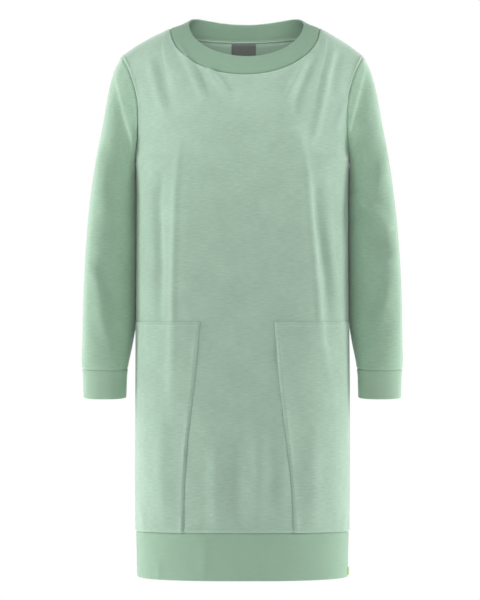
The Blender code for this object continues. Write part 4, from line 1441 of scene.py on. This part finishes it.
@dataclass
class Dress:
    """The whole dress: shapes the sewn pieces together and builds each one."""

    jersey_wall: float = 1.6
    band_wall: float = 2.2
    sleeve_fold_fade: float = 9.0
    least_groove: float = 0.05
    neck_stitch: float = 3.0
    pocket: PocketSizes = field(default_factory=PocketSizes)
    label_sizes: LabelSizes = field(default_factory=LabelSizes)
    tab_sizes: TabSizes = field(default_factory=TabSizes)
    pattern: Pattern = field(default_factory=Pattern)
    grids: dict = field(default_factory=dict)

    def shape(self) -> None:
        """Make all grids, then raise the folds and roll the seams in."""
        pattern = self.pattern
        front, back = pattern.panel(Face.FRONT), pattern.panel(Face.BACK)
        made = [front, back, pattern.neckband(front, back)]
        made += [pattern.hem_band(front, Face.FRONT), pattern.hem_band(back, Face.BACK)]
        for side in Side:
            sleeve = pattern.sleeve(front, back, side)
            made += [sleeve, pattern.cuff(sleeve, side)]
        share_normals(made)
        for grid in made:
            grid.points = grid.points + grid.normals * self.relief(grid)[..., None]
        share_normals(made)
        for grid in made:
            grid.points = grid.points - grid.normals * self.groove(grid)[..., None]
        share_normals(made)
        self.grids = {grid.name: grid for grid in made}

    def relief(self, grid: ClothGrid) -> np.ndarray:
        """Height of folds and of the cloth's slow unevenness at each point of a grid.

        Args:
            grid: the piece.

        Returns:
            The heights.
        """
        height = fold_heights(grid.points, grid.normals, body_folds())
        if grid.name.startswith(("sleeve", "cuff")):
            fade = 1.0
            if grid.name.startswith("sleeve"):
                fade = ease(grid.distance_along(0, True) / self.sleeve_fold_fade)
            height = height + fade * fold_heights(grid.points, grid.normals, SLEEVE_FOLDS)
        return height + Unevenness().at(grid.points)

    def groove(self, grid: ClothGrid) -> np.ndarray:
        """Depth to which the seams draw the cloth in at each point of a grid."""
        depths = {"low": 0.0, "high": 0.0, "first": SEWING.plain_seam, "last": SEWING.plain_seam}
        distances = grid.rim_distances()
        name = grid.name
        if name in ("front", "back"):
            depths["low"] = SEWING.band_seam
            neck = self.pattern.neck_start()
            top = np.full(grid.points.shape[1], SEWING.plain_seam)
            top[neck:neck + self.pattern.neck_cells + 1] = SEWING.neck_seam
            depths["high"] = top[None, :]
            levels = self.pattern.levels()
            beside_sleeve = levels >= UNDERARM - LEVEL_MARGIN
            side = np.where(beside_sleeve, SEWING.armhole_seam, SEWING.plain_seam)[:, None]
            depths["first"] = depths["last"] = side
        elif name.startswith("sleeve"):
            depths["low"], depths["high"] = SEWING.band_seam, SEWING.armhole_seam
        elif name == "neckband":
            depths["low"] = SEWING.neck_seam
        else:
            depths["high"] = SEWING.band_seam
        rolled = [self.seam_profile(depths[rim], away, name) for rim, away in distances.items()]
        deepest, highest = np.max(rolled, axis=0), np.min(rolled, axis=0)
        return np.where(deepest > self.least_groove, deepest, highest)

    @staticmethod
    def seam_profile(depth: np.ndarray, away: np.ndarray, name: str) -> np.ndarray:
        """Depth near a seam: a groove on it, then the low ridge of the pressed seam allowance.

        Args:
            depth: depth of the seam.
            away: distance of each point from it.
            name: the piece; the seam allowance is pressed to the panels, so the others show less ridge.

        Returns:
            The depth at each point.
        """
        groove = depth * bell(away, SEWING.groove_width)
        ridge = bell(away - SEWING.ridge_away, SEWING.ridge_width)
        share = SEWING.ridge_share if name in ("front", "back") else SEWING.sleeve_ridge_share
        return groove - share * depth * ridge

    def pocket_grid(self, side: Side) -> tuple[ClothGrid, np.ndarray]:
        """Grid of a pocket panel over the front, with its wall at each point.

        Args:
            side: which pocket.

        Returns:
            The grid, already lifted off the front, and the wall.
        """
        form, sizes = self.pattern.form, self.pocket
        levels = SEWING.stations(HEM_SEAM, POCKET_TOP, True, True, sizes.cell)
        _, x_right, x_left = read_table(POCKET_SEAMS, levels)
        inner = form.pocket_share(levels, x_left if side is Side.LEFT else x_right)
        span = sizes.column_span
        place = SEWING.stations(0.0, span, True, False, sizes.column_cell) / span
        fine_end = 1.0 - np.array(self.pattern.edge_shares[::-1]) * sizes.edge_spread
        place = np.concatenate([place[place < fine_end[0] - sizes.edge_margin], fine_end])
        across = inner[:, None] + (side.value - inner[:, None]) * place[None, :]
        if side is Side.RIGHT:
            across = across[:, ::-1]
        grid = ClothGrid(sided("pocket", side), form.panel(Face.FRONT, levels[:, None], across))
        share_normals([grid])
        grid.points = grid.points + grid.normals * self.relief(grid)[..., None]
        share_normals([grid])
        away = grid.rim_distances()
        seam_side, open_side = ("last", "first") if side is Side.LEFT else ("first", "last")
        near_side = ease(away[seam_side] / sizes.seam_fade)
        rolled = SEWING.band_seam * bell(away["low"], SEWING.groove_width)
        uneven = np.full((len(levels), 1), sizes.uneven_ground)
        for height, wave, shift in sizes.uneven:
            uneven = uneven + height * np.sin(levels / wave + shift)[:, None]
        turned = sizes.turned_height * uneven * bell(away[open_side] - sizes.turned_away, sizes.turned_width)
        hem = sizes.hem_height * bell(away["high"] - sizes.hem_away, sizes.hem_width)
        dents = sum(sizes.stitch_dent * bell(away["high"] - row, sizes.stitch_width)
                    for row in sizes.stitch_rows)
        thin = bell(np.minimum(away[open_side], away["high"]), sizes.thin_width)
        wall = sizes.thin_wall + (sizes.wall - sizes.thin_wall) * near_side * (1.0 - sizes.thin_share * thin)
        lift = sizes.rest_gap + sizes.gap * near_side * (1.0 - sizes.sink_share * thin) + wall
        lift = lift - rolled + (turned + hem - dents) * near_side
        grid.points = grid.points + grid.normals * lift[..., None]
        share_normals([grid])
        return grid, wall

    def build(self) -> None:
        """Build every piece."""
        jersey = KnitFinish().make()
        # The sleeves get their own copy of the jersey, tinted to the sleeves' shade: painted shade
        sleeve = KnitFinish("sweat_jersey_cut_crosswise", "A1C0A8").make()
        # Folded bands are stretched on, so their knit lies evener and finer than the panels'
        even = {"slub_contrast": 0.06, "slub_length": 18.0, "wale_width": 1.2, "bump_height": 0.16}
        band = KnitFinish("folded_jersey_band", "A0BDA6", sheen=0.6, **even).make()
        # The hem band's copy is darker than the cuffs' band: painted shade of the lower dress
        hem = KnitFinish("folded_jersey_hem_painted_shade", "97B59E", sheen=0.4, **even).make()
        # The neckband's copy is darker still: painted shade on the collar's front
        collar = KnitFinish("folded_jersey_collar_painted_shade", "88A58F", sheen=0.3, **even).make()
        label = WovenFinish("woven_satin_label", "717572", 0.6, 0.55).make()
        ribbon = WovenFinish("woven_tab_ribbon", "A8D060", 0.8, 0.6).make()
        thread = ThreadFinish().make()
        self.shape()
        cuts = {
            "front": ((0.50, 0.84), 0.36, "hung", jersey, "jersey", self.jersey_wall),
            "back": ((0.50, 0.86), 0.37, "hung", jersey, "jersey", self.jersey_wall),
            "sleeve_left": ((0.40, 0.50), 0.145, "hung", sleeve, "jersey", self.jersey_wall),
            "sleeve_right": ((0.40, 0.50), 0.145, "hung", sleeve, "jersey", self.jersey_wall),
            "neckband": ((0.66, 0.034), None, "stretched", collar, "band", self.band_wall),
            "cuff_left": ((0.19, 0.048), None, "stretched", band, "band", self.band_wall),
            "cuff_right": ((0.19, 0.048), None, "stretched", band, "band", self.band_wall),
            "hem_band_front": ((0.45, 0.075), None, "hung", hem, "band", self.band_wall),
            "hem_band_back": ((0.45, 0.075), None, "hung", hem, "band", self.band_wall),
        }
        for name, (flat, area, held, finish, slot, wall) in cuts.items():
            grid = self.grids[name]
            if slot == "band":
                seam_away = grid.rim_distances()["low" if name == "neckband" else "high"]
                wall = self.jersey_wall + (wall - self.jersey_wall) * ease(seam_away / SEWING.taper)
            piece = SewnPiece(grid, wall, finish, slot).build()
        rows = []
        for side in Side:
            grid, wall = self.pocket_grid(side)
            piece = SewnPiece(grid, wall, jersey, "jersey").build()
            away = grid.rim_distances()["high"]
            spare = self.pocket.spare_columns
            across = slice(spare, grid.points.shape[1] - spare)
            rows += [path_at(grid, away, row, across) for row in self.pocket.stitch_rows]
        StitchRow("pocket_stitches", thread, "jersey").build(rows)
        first = self.pattern.neck_start()
        neck = slice(first, first + self.pattern.neck_cells + 1)
        panels = [self.grids[name] for name in ("front", "back")]
        seams = [path_at(grid, grid.rim_distances()["high"], self.neck_stitch, neck) for grid in panels]
        StitchRow("neck_stitches", thread, "jersey").build(seams)
        StitchRow("armhole_stitches", thread, "jersey").build(self.armhole_rows())
        self.label(label)
        self.tab(ribbon)

    def armhole_rows(self) -> list[tuple[np.ndarray, np.ndarray]]:
        """Lines on both panels, beside the armholes, along which the seam allowance is stitched down."""
        rows = []
        for name in ("front", "back"):
            grid = self.grids[name]
            reach = slice(self.pattern.underarm_row(), grid.points.shape[0] - 1)
            turned = ClothGrid(name, grid.points.swapaxes(0, 1), normals=grid.normals.swapaxes(0, 1))
            for rim in ("low", "high"):
                rows.append(path_at(turned, turned.rim_distances()[rim], SEWING.armhole_stitch, reach))
        return rows

    def label(self, finish: bpy.types.Material) -> None:
        """Build the bare woven label inside the back neck.

        Args:
            finish: the label's material.
        """
        back, sizes = self.grids["back"], self.label_sizes
        width, height = sizes.width, sizes.height
        down = back.distance_along(0, True)
        middle = back.points.shape[1] // 2
        ups = SEWING.stations(0.0, height, True, True, sizes.row_cell)
        overs = SEWING.stations(-0.5 * width, 0.5 * width, True, True, sizes.column_cell)
        reach = slice(middle - sizes.half_reach, middle + sizes.half_reach + 1)
        rows, facings = [], []
        for up in ups:
            points, normals = path_at(back, down, sizes.down + height - up, reach)
            rows.append(resample(points[:, 0], points, sizes.centre_x + overs))
            facings.append(resample(points[:, 0], normals, sizes.centre_x + overs))
        points, normals = np.array(rows), unit(np.array(facings))
        loose = sizes.loose * ((height - ups) / height)[:, None] ** 2
        belly = sizes.belly * np.sin(math.pi * (overs / width + 0.5))[None, :] * (1.0 - ups / height)[:, None]
        gap = self.jersey_wall + sizes.gap + sizes.wall + loose + belly
        grid = ClothGrid("neck_label", points - normals * gap[..., None])
        grid.normals = -normals
        piece = SewnPiece(grid, sizes.wall, finish, "label").build()

    def tab(self, finish: bpy.types.Material) -> None:
        """Build the bare ribbon tab in the side seam of the hem band, at the wearer's left.

        Args:
            finish: the tab's material.
        """
        band, sizes = self.grids["hem_band_front"], self.tab_sizes
        rows, facings = [], []
        up = band.distance_along(0)
        reach = slice(band.points.shape[1] - sizes.reach, band.points.shape[1])
        overs = SEWING.stations(sizes.width, sizes.seam_away, True, True, sizes.cell)
        for level in SEWING.stations(0.0, sizes.height, True, True, sizes.cell):
            points, normals = path_at(band, up, sizes.up + level, reach)
            run = run_along(points)
            from_seam = run[-1] - run
            rows.append(resample(from_seam, points, overs))
            facings.append(resample(from_seam, normals, overs))
        points, normals = np.array(rows), unit(np.array(facings))
        share = np.clip((overs - sizes.seam_away) / (sizes.width - sizes.seam_away), 0.0, 1.0)
        lift = sizes.gap + sizes.wall + sizes.belly * np.sin(math.pi * share)
        grid = ClothGrid("hem_tab", points + normals * lift[None, :, None])
        share_normals([grid])
        piece = SewnPiece(grid, sizes.wall, finish, "tab").build()


# Middle of the dress, which most soft boxes face
MIDDLE = (0.0, 0.0, -0.45)


class LightCard(NamedTuple):
    """A soft box: its place, the point it faces, its size in metres and its power in watts.

    The spread is in degrees.
    """

    name: str
    place: tuple
    target: tuple
    size: tuple
    power: float
    spread: float = 180.0


@dataclass
class Studio:
    """Pale floor, even white room, soft boxes and the camera at the photograph's angle."""

    distance: float = 5.0
    view_height: float = 0.99
    aim: tuple = (-0.004, -0.467)
    sensor: float = 36.0
    floor_level: float = -1.35
    floor_radius: float = 3.9
    floor_glow: float = 0.3
    floor_roughness: float = 0.8
    floor_sides: int = 96
    ambient: float = 0.18
    far_end: float = 60.0
    cards: tuple = (
        LightCard("left_box", (-2.9, -0.74, 0.0), MIDDLE, (0.8, 2.4), 61.0),
        LightCard("right_box", (2.95, -0.42, 0.0), MIDDLE, (0.8, 2.4), 59.0),
        LightCard("front_box", (0.0, -3.2, 0.0), MIDDLE, (2.0, 1.6), 9.0),
        LightCard("chest_box", (0.0, -0.42, 0.2), (0.0, -0.11, -0.12), (0.3, 0.12), 1.15),
        LightCard("neck_box", (0.0, -0.05, 0.01), (0.0, 0.065, -0.012), (0.15, 0.01), 0.019, 50.0),
        LightCard("top_box", (0.0, -0.2, 2.4), MIDDLE, (2.0, 1.4), 2.0),
        LightCard("back_left_box", (-2.2, 1.6, 0.3), MIDDLE, (1.2, 2.4), 38.0),
        LightCard("back_right_box", (2.2, 1.6, 0.3), MIDDLE, (1.2, 2.4), 31.0),
        LightCard("back_box", (0.0, 3.2, 0.2), MIDDLE, (2.0, 1.6), 14.0),
    )

    def build(self) -> None:
        """Build the floor, the light and the camera."""
        self.floor()
        self.world()
        for card in self.cards:
            self.light(card)
        self.camera()

    def floor(self) -> None:
        """Round pale floor below the hem."""
        work = bmesh.new()
        bmesh.ops.create_circle(work, cap_ends=True, segments=self.floor_sides, radius=self.floor_radius)
        bmesh.ops.translate(work, verts=work.verts[:], vec=(0.0, 0.0, self.floor_level))
        mesh = bpy.data.meshes.new("studio_floor")
        work.to_mesh(mesh)
        work.free()
        made = bpy.data.materials.new("painted_studio_floor")
        made.use_nodes = True
        shader = made.node_tree.nodes["Principled BSDF"]
        shader.inputs["Base Color"].default_value = linear_colour("F4F4F4")
        shader.inputs["Roughness"].default_value = self.floor_roughness
        shader.inputs["Emission Color"].default_value = linear_colour("FFFFFF")
        shader.inputs["Emission Strength"].default_value = self.floor_glow
        mesh.materials.append(made)
        floor = bpy.data.objects.new("studio_floor", mesh)
        bpy.context.scene.collection.objects.link(floor)

    def world(self) -> None:
        """White room: plain white behind the dress, a weaker even light on it."""
        world = bpy.data.worlds.new("white_room")
        bpy.context.scene.world = world
        world.use_nodes = True
        tree = world.node_tree
        tree.nodes.clear()
        rays = add_node(tree, "ShaderNodeLightPath")
        white = linear_colour("FFFFFF")
        seen = add_node(tree, "ShaderNodeBackground", {"Color": white, "Strength": 1.0})
        lit = add_node(tree, "ShaderNodeBackground", {"Color": white, "Strength": self.ambient})
        both = add_node(tree, "ShaderNodeMixShader", {}, {
            0: rays.outputs["Is Camera Ray"], 1: lit.outputs["Background"], 2: seen.outputs["Background"],
        })
        add_node(tree, "ShaderNodeOutputWorld", {}, {"Surface": both.outputs["Shader"]})
        bpy.context.scene.view_settings.view_transform = "Standard"

    def light(self, card: LightCard) -> None:
        """Add one soft box.

        Args:
            card: its sizes.
        """
        data = bpy.data.lights.new(card.name, "AREA")
        data.shape = "RECTANGLE"
        data.size, data.size_y = card.size
        data.energy = card.power
        data.spread = math.radians(card.spread)
        lamp = bpy.data.objects.new(card.name, data)
        lamp.location = card.place
        lamp.visible_camera = False
        lamp.rotation_euler = (Vector(card.target) - Vector(card.place)).to_track_quat("-Z", "Y").to_euler()
        bpy.context.scene.collection.objects.link(lamp)

    def camera(self) -> None:
        """Level camera with a long lens, straight in front."""
        data = bpy.data.cameras.new("camera")
        data.sensor_width = self.sensor
        data.lens = self.sensor * self.distance / self.view_height
        data.clip_end = self.far_end
        item = bpy.data.objects.new("camera", data)
        item.location = (self.aim[0], -self.distance, self.aim[1])
        item.rotation_euler = (0.5 * math.pi, 0.0, 0.0)
        bpy.context.scene.collection.objects.link(item)
        bpy.context.scene.camera = item


def main() -> None:
    """Build the dress and the studio."""
    logging.basicConfig(level=logging.INFO, format="%(message)s")
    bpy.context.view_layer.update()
    Studio().build()
    Dress().build()


if __name__ == "__main__":
    main()
